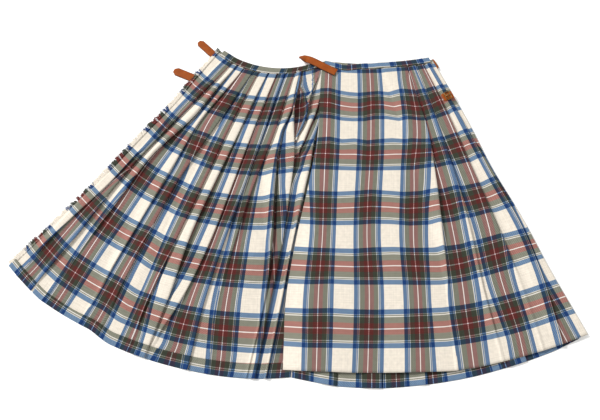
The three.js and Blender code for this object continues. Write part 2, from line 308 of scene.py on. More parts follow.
# Down the cloth it is 119.5 mm, with a cream stripe at 37.2 mm below the waist seam.
WEFT_SETT = Sett((
    Stripe(Yarn.CREAM, 23.5), Stripe(Yarn.BLUE, 9.2), Stripe(Yarn.PALE, 1.3), Stripe(Yarn.GREEN, 1.8),
    Stripe(Yarn.PALE, 1.8), Stripe(Yarn.GREEN, 11.2), Stripe(Yarn.RED, 10.0), Stripe(Yarn.WHITE, 0.95),
), cream_at=37.2)


@dataclass(frozen=True)
class CheckTwill:
    """Brushed wool twill in a woven check: matt, soft and slightly hairy, the two yarns' colours blended.

    Where warp and weft differ, the eye sees a darker blend than either, with a faint diagonal.
    """

    name: str = "brushed_wool_twill_check"
    twill_pitch: float = 4.2     # real ribs are 2.2 mm apart along a yarn, drawn coarser so that they show
    twill_share: float = 0.1     # how much the ribs show in the blend
    yarn_pitch: float = 1.8      # real yarns are 0.6 mm apart, drawn coarser so that their streaks show
    streak: float = 0.06         # how much the yarns differ in tone
    nap_size: float = 7.0        # tufts of the brushed surface
    nap_height: float = 0.35
    warp_share: float = 0.54     # weight of the warp's tone in the blend
    weft_share: float = 0.45

    def streaks(self, tree: bpy.types.NodeTree, place: bpy.types.NodeSocket) -> bpy.types.NodeSocket:
        """Nodes for the yarns' uneven tone across their direction.

        Args:
            tree: the material's node tree.
            place: socket with the distance across the yarns, in millimetres.

        Returns:
            A factor near 1.
        """
        noise = add_node(tree, "ShaderNodeTexNoise", {
            "W": place, "Scale": 1 / self.yarn_pitch, "Detail": 1.0,
        }, noise_dimensions="1D")
        return add_node(tree, "ShaderNodeMapRange", {
            "Value": noise.outputs[0], "From Min": 0.25, "From Max": 0.75,
            "To Min": 1 - self.streak, "To Max": 1 + self.streak,
        }).outputs[0]

    def build(self) -> bpy.types.Material:
        """Make the material.

        Returns:
            The node material.
        """
        material, tree, output = new_material(self.name)
        across, down = weave_places(tree)
        warp = WARP_SETT.colour(tree, across)
        weft = WEFT_SETT.colour(tree, down)

        under = add_node(tree, "ShaderNodeGamma", {0: warp, 1: self.warp_share})
        over = add_node(tree, "ShaderNodeGamma", {0: weft, 1: self.weft_share})
        blend = add_node(tree, "ShaderNodeMix", {
            0: 1.0, MIX_A: under.outputs[0], MIX_B: over.outputs[0],
        }, data_type="RGBA", blend_type="MULTIPLY")
        diagonal = add_node(tree, "ShaderNodeMath", {0: across, 1: down}, operation="ADD")
        turned = add_node(tree, "ShaderNodeMath", {
            0: diagonal.outputs[0], 1: math.tau / self.twill_pitch,
        }, operation="MULTIPLY")
        wave = add_node(tree, "ShaderNodeMath", {0: turned.outputs[0]}, operation="SINE")
        ribs = add_node(tree, "ShaderNodeMapRange", {
            "Value": wave.outputs[0], "From Min": -0.6, "From Max": 0.6,
        })
        shown = add_node(tree, "ShaderNodeMix", {
            0: ribs.outputs[0], MIX_A: weft, MIX_B: warp,
        }, data_type="RGBA")
        woven = add_node(tree, "ShaderNodeMix", {
            0: self.twill_share, MIX_A: blend.outputs[MIX_OUT], MIX_B: shown.outputs[MIX_OUT],
        }, data_type="RGBA")

        streaks = add_node(tree, "ShaderNodeMath", {
            0: self.streaks(tree, across), 1: self.streaks(tree, down),
        }, operation="MULTIPLY")
        place = add_node(tree, "ShaderNodeTexCoord").outputs["Object"]
        nap, mottle = patches(tree, place, self.nap_size, (0.92, 1.06), fineness=(5.0, 0.6))
        tone = add_node(tree, "ShaderNodeMath", {0: streaks.outputs[0], 1: mottle}, operation="MULTIPLY")
        toned = add_node(tree, "ShaderNodeVectorMath", {
            0: woven.outputs[MIX_OUT], "Scale": tone.outputs[0],
        }, operation="SCALE")

        raised = add_node(tree, "ShaderNodeMath", {0: nap, 1: ribs.outputs[0]}, operation="ADD")
        bump = add_node(tree, "ShaderNodeBump", {
            "Strength": 0.35, "Distance": self.nap_height * MM, "Height": raised.outputs[0],
        })
        shader = add_node(tree, "ShaderNodeBsdfPrincipled", {
            "Base Color": toned.outputs[0], "Roughness": 0.95, "IOR": 1.45, "Specular IOR Level": 0.12,
            "Sheen Weight": 0.06, "Sheen Roughness": 0.5, "Normal": bump.outputs[0],
        })
        tree.links.new(shader.outputs[0], output.inputs[0])
        return material


@dataclass(frozen=True)
class LooseYarn:
    """Pulled weft yarn ends of the self-fringe: the weft's own colours at full strength, matt and hairy."""

    name: str = "loose_weft_yarn"
    fluff_size: float = 1.5

    def build(self) -> bpy.types.Material:
        """Make the material.

        Returns:
            The node material.
        """
        material, tree, output = new_material(self.name)
        weft = WEFT_SETT.colour(tree, weave_places(tree)[1])
        place = add_node(tree, "ShaderNodeTexCoord").outputs["Object"]
        mottle = patches(tree, place, self.fluff_size, (0.8, 1.1))[1]
        toned = add_node(tree, "ShaderNodeVectorMath", {0: weft, "Scale": mottle}, operation="SCALE")
        shader = add_node(tree, "ShaderNodeBsdfPrincipled", {
            "Base Color": toned.outputs[0], "Roughness": 0.95, "IOR": 1.45, "Specular IOR Level": 0.2,
            "Sheen Weight": 0.1, "Sheen Roughness": 0.5,
        })
        tree.links.new(shader.outputs[0], output.inputs[0])
        return material


@dataclass(frozen=True)
class BridleLeather:
    """Vegetable-tanned strap leather, waxed and worn: warm tan, soft gloss, darker edges and fine pores."""

    name: str = "bridle_leather"
    tan: str = "823C06"
    scuffed: str = "924810"
    edge: str = "472006"
    pore_size: float = 1.6       # real pores are 0.3 mm, drawn coarser so that they show
    stain_size: float = 16.0

    def build(self) -> bpy.types.Material:
        """Make the material.

        Returns:
            The node material.
        """
        material, tree, output = new_material(self.name)
        place = add_node(tree, "ShaderNodeTexCoord").outputs["Object"]
        worn = patches(tree, place, self.stain_size, (0.0, 1.0), fineness=(3.0, 0.55), lowest=0.35)[1]
        pores = add_node(tree, "ShaderNodeTexVoronoi", {
            "Vector": place, "Scale": 1 / (self.pore_size * MM),
        })
        hide = add_node(tree, "ShaderNodeMix", {
            0: worn, MIX_A: linear(self.tan), MIX_B: linear(self.scuffed),
        }, data_type="RGBA")
        uv = add_node(tree, "ShaderNodeUVMap", uv_map=WIDTH_MAP)
        parts = add_node(tree, "ShaderNodeSeparateXYZ", {0: uv.outputs[0]})
        rim = add_node(tree, "ShaderNodeMapRange", {
            "Value": parts.outputs[0], "From Min": 0.8, "From Max": 1.0, "To Max": 0.85,
        })
        burnished = add_node(tree, "ShaderNodeMix", {
            0: rim.outputs[0], MIX_A: hide.outputs[MIX_OUT], MIX_B: linear(self.edge),
        }, data_type="RGBA")
        pitted = add_node(tree, "ShaderNodeMapRange", {
            "Value": pores.outputs[0], "From Min": 0.0, "From Max": 0.5, "To Min": 0.72, "To Max": 1.0,
        })
        toned = add_node(tree, "ShaderNodeVectorMath", {
            0: burnished.outputs[MIX_OUT], "Scale": pitted.outputs[0],
        }, operation="SCALE")
        bump = add_node(tree, "ShaderNodeBump", {
            "Strength": 0.4, "Distance": 0.2 * MM, "Height": pores.outputs[0],
        })
        shader = add_node(tree, "ShaderNodeBsdfPrincipled", {
            "Base Color": toned.outputs[0], "Roughness": 0.6, "IOR": 1.48, "Specular IOR Level": 0.2,
            "Normal": bump.outputs[0],
        })
        tree.links.new(shader.outputs[0], output.inputs[0])
        return material


@dataclass(frozen=True)
class BrassedSteel:
    """Stamped steel buckle wire, its brassy plating worn: a soft metallic gloss, duller in its scratches."""

    name: str = "plated_buckle_steel"
    metal: str = "5E4520"
    scratched: str = "8C7550"
    scratch_size: float = 0.8

    def build(self) -> bpy.types.Material:
        """Make the material.

        Returns:
            The node material.
        """
        material, tree, output = new_material(self.name)
        place = add_node(tree, "ShaderNodeTexCoord").outputs["Object"]
        scratches, gloss = patches(tree, place, self.scratch_size, (0.22, 0.45), fineness=(4.0, 0.5))
        tarnish = add_node(tree, "ShaderNodeMix", {
            0: scratches, MIX_A: linear(self.metal), MIX_B: linear(self.scratched),
        }, data_type="RGBA")
        bump = add_node(tree, "ShaderNodeBump", {
            "Strength": 0.2, "Distance": 0.05 * MM, "Height": scratches,
        })
        shader = add_node(tree, "ShaderNodeBsdfPrincipled", {
            "Base Color": tarnish.outputs[MIX_OUT], "Metallic": 1.0, "Roughness": gloss,
            "Normal": bump.outputs[0],
        })
        tree.links.new(shader.outputs[0], output.inputs[0])
        return material


@dataclass(frozen=True)
class PaperSweep:
    """Matt white studio paper: even and almost without texture."""

    name: str = "studio_paper"
    white: str = "F8F8F7"
    fibres: float = 300.0        # patches of fibre to a metre, drawn coarser than real ones

    def build(self) -> bpy.types.Material:
        """Make the material.

        Returns:
            The node material.
        """
        material, tree, output = new_material(self.name)
        coordinates = add_node(tree, "ShaderNodeTexCoord")
        fibre = add_node(tree, "ShaderNodeTexNoise", {
            "Vector": coordinates.outputs["Object"], "Scale": self.fibres,
        })
        tone = add_node(tree, "ShaderNodeMapRange", {
            "Value": fibre.outputs[0], "To Min": 0.97, "To Max": 1.0,
        })
        toned = add_node(tree, "ShaderNodeVectorMath", {
            0: linear(self.white)[:3], "Scale": tone.outputs[0],
        }, operation="SCALE")
        shader = add_node(tree, "ShaderNodeBsdfPrincipled", {
            "Base Color": toned.outputs[0], "Roughness": 0.95, "Specular IOR Level": 0.1,
        })
        tree.links.new(shader.outputs[0], output.inputs[0])
        return material


# ---------------------------------------------------------------- the two fans of cloth
@dataclass(frozen=True)
class Drift:
    """A patch where the rows of the weave hang lower, or higher where the push is negative."""

    angle: float
    down: float
    spread: tuple[float, float]      # degrees and millimetres
    push: float

    def at(self, angle: np.ndarray, down: np.ndarray | float) -> np.ndarray:
        """Millimetres of push at a place."""
        across, below = (angle - self.angle) / self.spread[0], (down - self.down) / self.spread[1]
        return self.push * np.exp(-across * across - below * below)


@dataclass(frozen=True)
class Fan:
    """Cloth spread round a pivot above the waist."""

    pivot: tuple[float, float]
    sign: int                    # 1 where angles are positive to the right, -1 where to the left

    def radius(self, angle: np.ndarray, down: float) -> np.ndarray:
        """Millimetres from the pivot, at an angle and a distance below the waist seam."""
        raise NotImplementedError

    def place(self, angle: np.ndarray, down: float) -> tuple[np.ndarray, np.ndarray]:
        """Place in the part's frame.

        Args:
            angle: degrees from straight down.
            down: millimetres below the seam.

        Returns:
            X and Y in millimetres.
        """
        r, turn = self.radius(angle, down), np.radians(angle)
        x = self.pivot[0] + self.sign * r * np.sin(turn) - CENTRE[0]
        return x, self.pivot[1] - r * np.cos(turn) - CENTRE[1]


@dataclass(frozen=True)
class BackFan(Fan):
    """The opened side, its angles positive to the left."""

    edge_angle: float = 40.0     # the fringed edge
    seam: float = 434.0          # radius of the waist seam there
    seam_curve: float = 0.064    # how much nearer the seam comes, with the square of the degrees from there
    stretch: float = 1.02        # how far the rows are spread at the even angle
    stretch_loss: float = 0.00215        # and how much less for each degree to the left
    even_angle: float = 13.0
    short_from: float = 25.0     # left of this angle the hem is cut shorter
    short_by: float = 9.0
    short_over: float = 3.0      # degrees over which that comes in
    arc_angle: float = 23.0      # the angle that stands for a whole row where arcs are counted
    sag_angles: tuple[float, ...] = (6, 10, 14, 18, 22, 26, 30, 34, 37, 40)
    sag_rows: tuple[float, ...] = (4, -1, 1, 5, 7, 8, 9.5, 8.5, 5, 1)     # how far the weave's rows droop
    sag_hem: tuple[float, ...] = (0, 3, 3, 2.5, 3, 3, 6, 9, 5, 1)         # and the hem
    sag_turns: tuple[float, float] = (450.0, 205.0)      # where the rows' sag starts to become the hem's
    sag_starts: tuple[float, float] = (-20.0, 90.0)      # where the sag itself sets in

    def seam_radius(self, angle: float | np.ndarray) -> float | np.ndarray:
        """Radius of the waist seam at an angle."""
        return self.seam - self.seam_curve * (self.edge_angle - angle) ** 2

    def spread(self, angle: float | np.ndarray) -> float | np.ndarray:
        """How far the rows are spread at an angle, 1 where they lie as woven."""
        return self.stretch - self.stretch_loss * (angle - self.even_angle)

    def radius(self, angle: np.ndarray, down: float) -> np.ndarray:
        """Radius at an angle and a distance below the waist seam.

        Args:
            angle: degrees to the left.
            down: millimetres below the seam.

        Returns:
            Millimetres from the pivot.
        """
        hem = HEM - self.short_by * ease((angle - self.short_from) / self.short_over)
        length = down * hem / HEM if down > 0 else down
        rows = np.interp(angle, self.sag_angles, self.sag_rows)
        low = np.interp(angle, self.sag_angles, self.sag_hem)
        turned = ease((down - self.sag_turns[0]) / self.sag_turns[1])
        set_in = ease((down - self.sag_starts[0]) / self.sag_starts[1])
        sag = (rows + (low - rows) * turned) * set_in
        return self.seam_radius(angle) + length * self.spread(angle) + sag

    def arc(self, down: float) -> float:
        """Millimetres of arc for one degree, at a row."""
        return math.radians(1) * (self.seam_radius(self.arc_angle) + down * self.spread(self.arc_angle))


@dataclass(frozen=True)
class ApronFan(Fan):
    """The folded-over side, its angles positive to the right."""

    hem_angles: tuple[float, ...]
    hem_lengths: tuple[float, ...]
    drifts: tuple[Drift, ...] = ()
    seam: float = 464.0          # radius of the waist seam straight below the pivot
    seam_slope: float = 0.6      # how it grows with the angle
    seam_curve: float = 0.02     # and with its square
    arc_radius: float = 474.0    # the seam's radius that stands for a whole row where arcs are counted

    def radius(self, angle: np.ndarray, down: float) -> np.ndarray:
        """Radius at an angle and a distance below the waist seam.

        Args:
            angle: degrees to the right.
            down: millimetres below the seam.

        Returns:
            Millimetres from the pivot.
        """
        hem = np.interp(angle, self.hem_angles, self.hem_lengths)
        length = down * np.where(np.asarray(down) > 0, hem / HEM, 1.0)
        for drift in self.drifts:
            length = length + drift.at(angle, down)
        return length + self.seam + self.seam_slope * angle + self.seam_curve * angle * angle

    def arc(self, down: float) -> float:
        """Millimetres of arc for one degree, at a row."""
        return math.radians(1) * (down + self.arc_radius)


BACK = BackFan((109.0, 1054.0), -1)
# Slack of the under apron, from the waist down. Each patch has its angle, its distance below the seam,
# its spread in degrees and millimetres, and its push in millimetres.
APRON_DRIFTS = (
    Drift(7, 45, (30, 50), 3), Drift(12.8, 48, (2.4, 26), -6), Drift(-4.8, 68, (2.2, 42), -5.5),
    Drift(6, 85, (1.5, 40), -2.5), Drift(1.3, 90, (1.8, 35), 2), Drift(17.5, 100, (2.5, 35), 4),
    Drift(14.5, 105, (3, 35), 5.5), Drift(5.9, 112, (1.6, 55), -3.5), Drift(11.9, 112, (1.6, 50), -3),
    Drift(-1.5, 115, (2, 40), 2.5), Drift(10.4, 118, (2, 24), 3.5), Drift(0.8, 120, (2.2, 22), 1.5),
    Drift(19.6, 138, (2, 28), 3), Drift(15, 155, (3.5, 65), 8), Drift(18.6, 160, (2.3, 28), 3.5),
    Drift(7.8, 165, (2.3, 32), -3.5), Drift(-4.4, 172, (1.6, 28), -5.5), Drift(0.6, 188, (1.1, 30), -4.5),
    Drift(8.7, 235, (3, 45), -4), Drift(18.6, 285, (2.3, 60), 5), Drift(2.8, 288, (2, 35), -2.5),
    Drift(2.6, 325, (4, 72), -6.5), Drift(10.6, 325, (2.4, 30), -2.5), Drift(20.5, 375, (2, 60), 3),
    Drift(14, 400, (3, 80), 2), Drift(3.4, 402, (3.2, 36), -4.5), Drift(11.3, 402, (1.8, 35), -3),
    Drift(22, 436, (2, 35), 3.5), Drift(11, 440, (3, 35), 3), Drift(9, 484, (6, 28), 3.2),
    Drift(5, 500, (5, 55), -3), Drift(-7, 515, (2.5, 100), 4),
)
APRON = ApronFan(
    (118.5, 1147.0), 1,
    hem_angles=(-7.25, -3, 0, 3, 6, 9, 12, 15, 18, 22),
    hem_lengths=(661, 656, 655, 654, 655.5, 658.5, 657, 654, 652, 648),
    drifts=APRON_DRIFTS,
)
UNDER = ApronFan(
    (120.0, 1150.0), 1,
    hem_angles=(-8, -5, -2, 2, 6.5, 10, 15, 18.7, 22),
    hem_lengths=(670, 677, 683, 684, 680, 676, 667, 660, 650),
)


# ---------------------------------------------------------------- folded cloth in section
@dataclass(frozen=True)
class Mark:
    """A column of the weave pinned to an angle inside a face, with a gather where before and after differ."""

    angle: tuple[float, ...]
    before: tuple[float, ...]
    after: tuple[float, ...]


@dataclass(frozen=True)
class Fold:
    """A knife fold: at each station its edge's angle, the weave's columns on both sides of it, and its lift.

    The columns are those at the edge and where the next face starts. Half of the cloth between them is tucked
    under, and equal columns are a pleat opened out.
    """

    name: str
    edge: tuple[float, ...]
    at_edge: tuple[float, ...]
    past: tuple[float, ...]
    lift: tuple[float, ...]
    marks: tuple[Mark, ...] = ()
    stations: tuple[float, ...] = STATIONS
    deepest: float = 200.0                # widest that it is tucked under
    run: float = 15.0                     # how far before the tuck its face starts to rise

    def smooth(self, values: tuple[float, ...], down: float) -> float:
        """One of the fold's tables read at a row, as a smooth curve."""
        return along(values, down, self.stations)

    def column(self, values: tuple[float, ...], down: float) -> float:
        """A table of the weave's columns read at a row, straight between close stations."""
        if self.stations is STATIONS:
            return along(values, down)
        return float(np.interp(down, self.stations, values))


@dataclass(frozen=True)
class Crease:
    """A soft ridge, or a trough where rise is negative, running down the cloth."""

    angles: tuple[float, float]
    downs: tuple[float, float]
    rise: float
    width: float

    def height(self, angle: np.ndarray, down: float, arc: float) -> np.ndarray:
        """Height that the crease adds.

        Args:
            angle: degrees in the fan.
            down: millimetres below the seam.
            arc: millimetres for one degree.

        Returns:
            Millimetres of height for each angle.
        """
        t = (down - self.downs[0]) / (self.downs[1] - self.downs[0])
        if not 0 < t < 1:
            return np.zeros_like(angle)
        middle = self.angles[0] + (self.angles[1] - self.angles[0]) * t
        fade = math.sin(math.pi * t) ** 0.7
        return self.rise * fade * np.exp(-((angle - middle) * arc / self.width) ** 2)


@dataclass(frozen=True)
class Steps:
    """How many mesh columns each stretch of one fold gets."""

    face: int
    rise: int
    roll: int
    edge: int
    middle: int
    turn: int
    bottom: int

    @property
    def shown(self) -> int:
        """Columns from the start of the face to the folded edge's outermost point."""
        return self.face + self.rise + self.roll + self.edge // 2 + 1

    @property
    def total(self) -> int:
        """Columns of one fold."""
        return self.face + self.rise + self.roll + self.edge + self.middle + self.turn + self.bottom


SHOWN_STEPS = Steps(face=7, rise=7, roll=8, edge=6, middle=2, turn=4, bottom=2)
HIDDEN_STEPS = Steps(face=5, rise=3, roll=3, edge=4, middle=2, turn=3, bottom=2)
FULL_TUCK = 4.0                           # a tuck narrower than this starts to open out
OPEN_SPREAD = 7.0                         # how far past its line an opened pleat's ridge runs out
CLOSE_SPREAD = 2.0                        # the same where the folds crowd beside the opening
OPEN_RIDGE = 1.3                          # height of an opened pleat's ridge
MARK_WIDTH = 2.0                          # width over which a mark gathers cloth
NEXT_FACE = 1.6                           # how far past a folded edge the next face comes out
TUCK_CLEAR = 6.0                          # a tuck stops this far from where its face comes out
FOOT_CLEAR = 1.5                          # least flat stretch at the start of a face
CREST_ROOM = 9.0                          # least distance from the foot of the rise to its crest
LIFT_STARTS = (10.0, 60.0)                # slack starts this far below the seam, and is full so much further
MIDDLE_LIFT = 0.35                        # share of the slack under the layer inside a tuck
RIDGE_LIFT = 0.25                         # and under an opened pleat's ridge


@dataclass
class Section:
    """One row of cloth across the fan: places along the arc, heights and weave columns, in millimetres."""

    across: np.ndarray
    height: np.ndarray
    weave: np.ndarray


@dataclass(frozen=True)
class FoldedCloth:
    """Cloth that lies in knife folds from one side of a fan to the other."""

    fan: Fan
    start: tuple[float, ...]
    start_weave: tuple[float, ...]
    folds: tuple[Fold, ...]
    end: tuple[float, ...]
    base: float
    steps: Steps
    start_more: float = 0.0               # degrees inward of the start where the cloth really begins
    end_more: float = 0.0                 # millimetres past the end where it stops
    end_steps: int = 12

    def edge_at(self, angles: tuple[float, ...], down: float,
                stations: tuple[float, ...] = STATIONS) -> float:
        """Place along the arc of a table's angle, at a row."""
        return self.fan.sign * along(angles, down, stations) * self.fan.arc(down)

    def faces(self, down: float) -> list[tuple[list[float], list[float]]]:
        """The weave's columns on each face, as pinned places and columns.

        Args:
            down: millimetres below the seam.

        Returns:
            For each face, its places along the arc and the weave's columns there.
        """
        arc = self.fan.arc(down)
        before = self.edge_at(self.start, down) + self.start_more * arc
        column = along(self.start_weave, down)
        found = []
        for fold in self.folds:
            edge = self.edge_at(fold.edge, down, fold.stations)
            at_edge = fold.column(fold.at_edge, down)
            places, columns = [before], [column]
            for mark in fold.marks:
                middle = max(self.edge_at(mark.angle, down, fold.stations), places[-1] + 1.0)
                if middle + MARK_WIDTH < edge:
                    places += [middle, middle + MARK_WIDTH]
                    columns += [fold.column(mark.before, down), fold.column(mark.after, down)]
            found.append(([*places, edge], [*columns, at_edge]))
            before, column = edge, max(at_edge, fold.column(fold.past, down))
        end = self.edge_at(self.end, down) + self.end_more
        found.append(([before, end], [column, column + (end - before)]))
        return found

    def tucked(self, edge: float, back: float, reach: float, top: float,
               middle: float) -> tuple[np.ndarray, np.ndarray]:
        """Columns of a closed fold from its crest on: round the edge, back under it and out again.

        Args:
            edge: where the cloth is folded back.
            back: width tucked under.
            reach: half width of the round edge.
            top: height of the crest.
            middle: height of the layer inside the tuck.

        Returns:
            Places and heights.
        """
        steps, base, crest = self.steps, self.base, edge - reach
        under = max(0.0, min(middle - base, back)) / 2
        left = edge - back + under
        turn_top = np.linspace(math.pi / 2, -math.pi / 2, steps.edge, endpoint=False)
        turn_low = np.linspace(math.pi / 2, 3 * math.pi / 2, steps.turn, endpoint=False)
        x = np.concatenate([
            crest + reach * np.cos(turn_top),
            np.linspace(crest, left, steps.middle, endpoint=False),
            left + under * np.cos(turn_low),
            np.linspace(left, edge + NEXT_FACE, steps.bottom, endpoint=False)])
        z = np.concatenate([
            (top + middle) / 2 + (top - middle) / 2 * np.sin(turn_top),
            np.full(steps.middle, middle),
            (middle + base) / 2 + (middle - base) / 2 * np.sin(turn_low),
            np.full(steps.bottom, base)])
        return x, z

    def fold_points(self, free: float, edge: float, tuck: float, fold: Fold,
                    down: float) -> tuple[np.ndarray, np.ndarray, float]:
        """Columns of one fold, from the start of its face to the start of the next.

        Args:
            free: where the face comes out.
            edge: where it is folded back.
            tuck: width of cloth meant to be tucked under.
            fold: the fold.
            down: millimetres below the seam.

        Returns:
            Places, heights and the place where the next face comes out.
        """
        steps, base = self.steps, self.base
        lift = fold.smooth(fold.lift, down) * ease((down - LIFT_STARTS[0]) / LIFT_STARTS[1])
        back = min(max(0.0, tuck), max(1.0, edge - free - TUCK_CLEAR), fold.deepest)
        closed = float(ease(tuck / FULL_TUCK))
        middle = base + LAYER + lift * MIDDLE_LIFT
        ridge = base + OPEN_RIDGE + RIDGE_LIFT * lift
        top = ridge + (base + 2 * LAYER + lift - ridge) * closed
        over = min(middle + LAYER + 0.1, top)
        knee_height = base + 0.5 * (top - base) + (over - base - 0.5 * (top - base)) * closed
        radius = (top - middle) / 2 if closed > 0.5 else max(0.4, (top - middle) / 2)
        reach = min(radius, max(0.7, back / 2))
        crest = edge - reach
        foot = max(free + FOOT_CLEAR, min(edge - back - fold.run, crest - CREST_ROOM))
        knee = min(max(foot + 1, edge - back - 1), crest - 2)
        foot = min(foot, knee - 1)
        slope = 1.2 * (top - knee_height) / (crest - knee)

        t_rise = np.linspace(0, 1, steps.rise, endpoint=False)
        t_roll = np.linspace(0, 1, steps.roll, endpoint=False)
        folded_x, folded_z = self.tucked(edge, back, reach, top, middle)
        t_open = np.linspace(0, 1, folded_x.size, endpoint=False)
        spread = OPEN_SPREAD if fold.stations is STATIONS else CLOSE_SPREAD
        open_x = crest + (edge + spread - crest) * t_open
        open_z = base + (top - base) * (1 - ease(t_open))
        x = np.concatenate([
            np.linspace(free, foot, steps.face, endpoint=False),
            foot + (knee - foot) * t_rise,
            knee + (crest - knee) * t_roll,
            folded_x * closed + open_x * (1 - closed)])
        z = np.concatenate([
            np.full(steps.face, base),
            hermite(base, 0, knee_height, slope, knee - foot, t_rise),
            hermite(knee_height, slope, top, 0, crest - knee, t_roll),
            folded_z * closed + open_z * (1 - closed)])
        comes_out = (edge + NEXT_FACE) * closed + (edge + spread) * (1 - closed)
        return x, np.maximum(z, base), comes_out

    def section(self, down: float) -> Section:
        """One row of the cloth.

        Args:
            down: millimetres below the seam.

        Returns:
            The row's places, heights and weave columns.
        """
        faces = self.faces(down)
        free = faces[0][0][0]
        xs, zs, us = [], [], []
        for number, fold in enumerate(self.folds):
            places, columns = faces[number]
            edge = places[-1]
            tuck = (faces[number + 1][1][0] - columns[-1]) / 2
            x, z, comes_out = self.fold_points(free, edge, tuck, fold, down)
            shown = self.steps.shown
            u = np.interp(x, places, columns)
            hidden_x, hidden_z = x[shown - 1:], z[shown - 1:]
            lengths = np.concatenate([[0.0], np.cumsum(np.hypot(np.diff(hidden_x), np.diff(hidden_z)))])
            total = lengths[-1] + abs(comes_out - x[-1])
            following = float(np.interp(comes_out, *faces[number + 1]))
            u[shown - 1:] = u[shown - 1] + (following - u[shown - 1]) * lengths / max(total, 0.1)
            xs.append(x)
            zs.append(z)
            us.append(u)
            free = comes_out
        places, columns = faces[-1]
        last = np.linspace(free, places[-1], self.end_steps)
        xs.append(last)
        zs.append(np.full(self.end_steps, self.base))
        us.append(np.interp(last, places, columns))
        return Section(np.concatenate(xs), np.concatenate(zs), np.concatenate(us))


# Edges of the cloth: angle at each station, positive to the left on the back and to the right on the apron.
FRINGE_EDGE = (40.1, 39.0, 38.9, 38.6, 38.7, 38.95)
BACK_END = (5.6, 5.0, 5.6, 6.3, 6.6, 6.4)
FREE_EDGE = (-7.1, -6.25, -6.75, -7.5, -7.75, -7.25)
SIDE_FOLD = (22.95, 22.9, 22.45, 22.65, 22.45, 22.5)
SIDE_RADIUS = (LEVEL[4] - LEVEL[0]) / 2   # of the rounded fold at the right side
SIDE_INSET = 3.0                          # how far inward of the side the round starts
SIDE_TAIL = 19.0                          # and how far inward the apron ends below it
PANEL_SPLIT = 7                           # the over apron ends inside the tuck of the seventh pleat


def level(value: float, places: tuple[float, ...] = STATIONS) -> tuple[float, ...]:
    """The same value at every station."""
    return (value,) * len(places)


OPENING = (0, 30, 60, 90, 120, 150, 170, 182, 205, 216, 240, 275, 394, 515, 618)   # stations near the opening
FLAT = -5.2                               # lift where a fold has died out

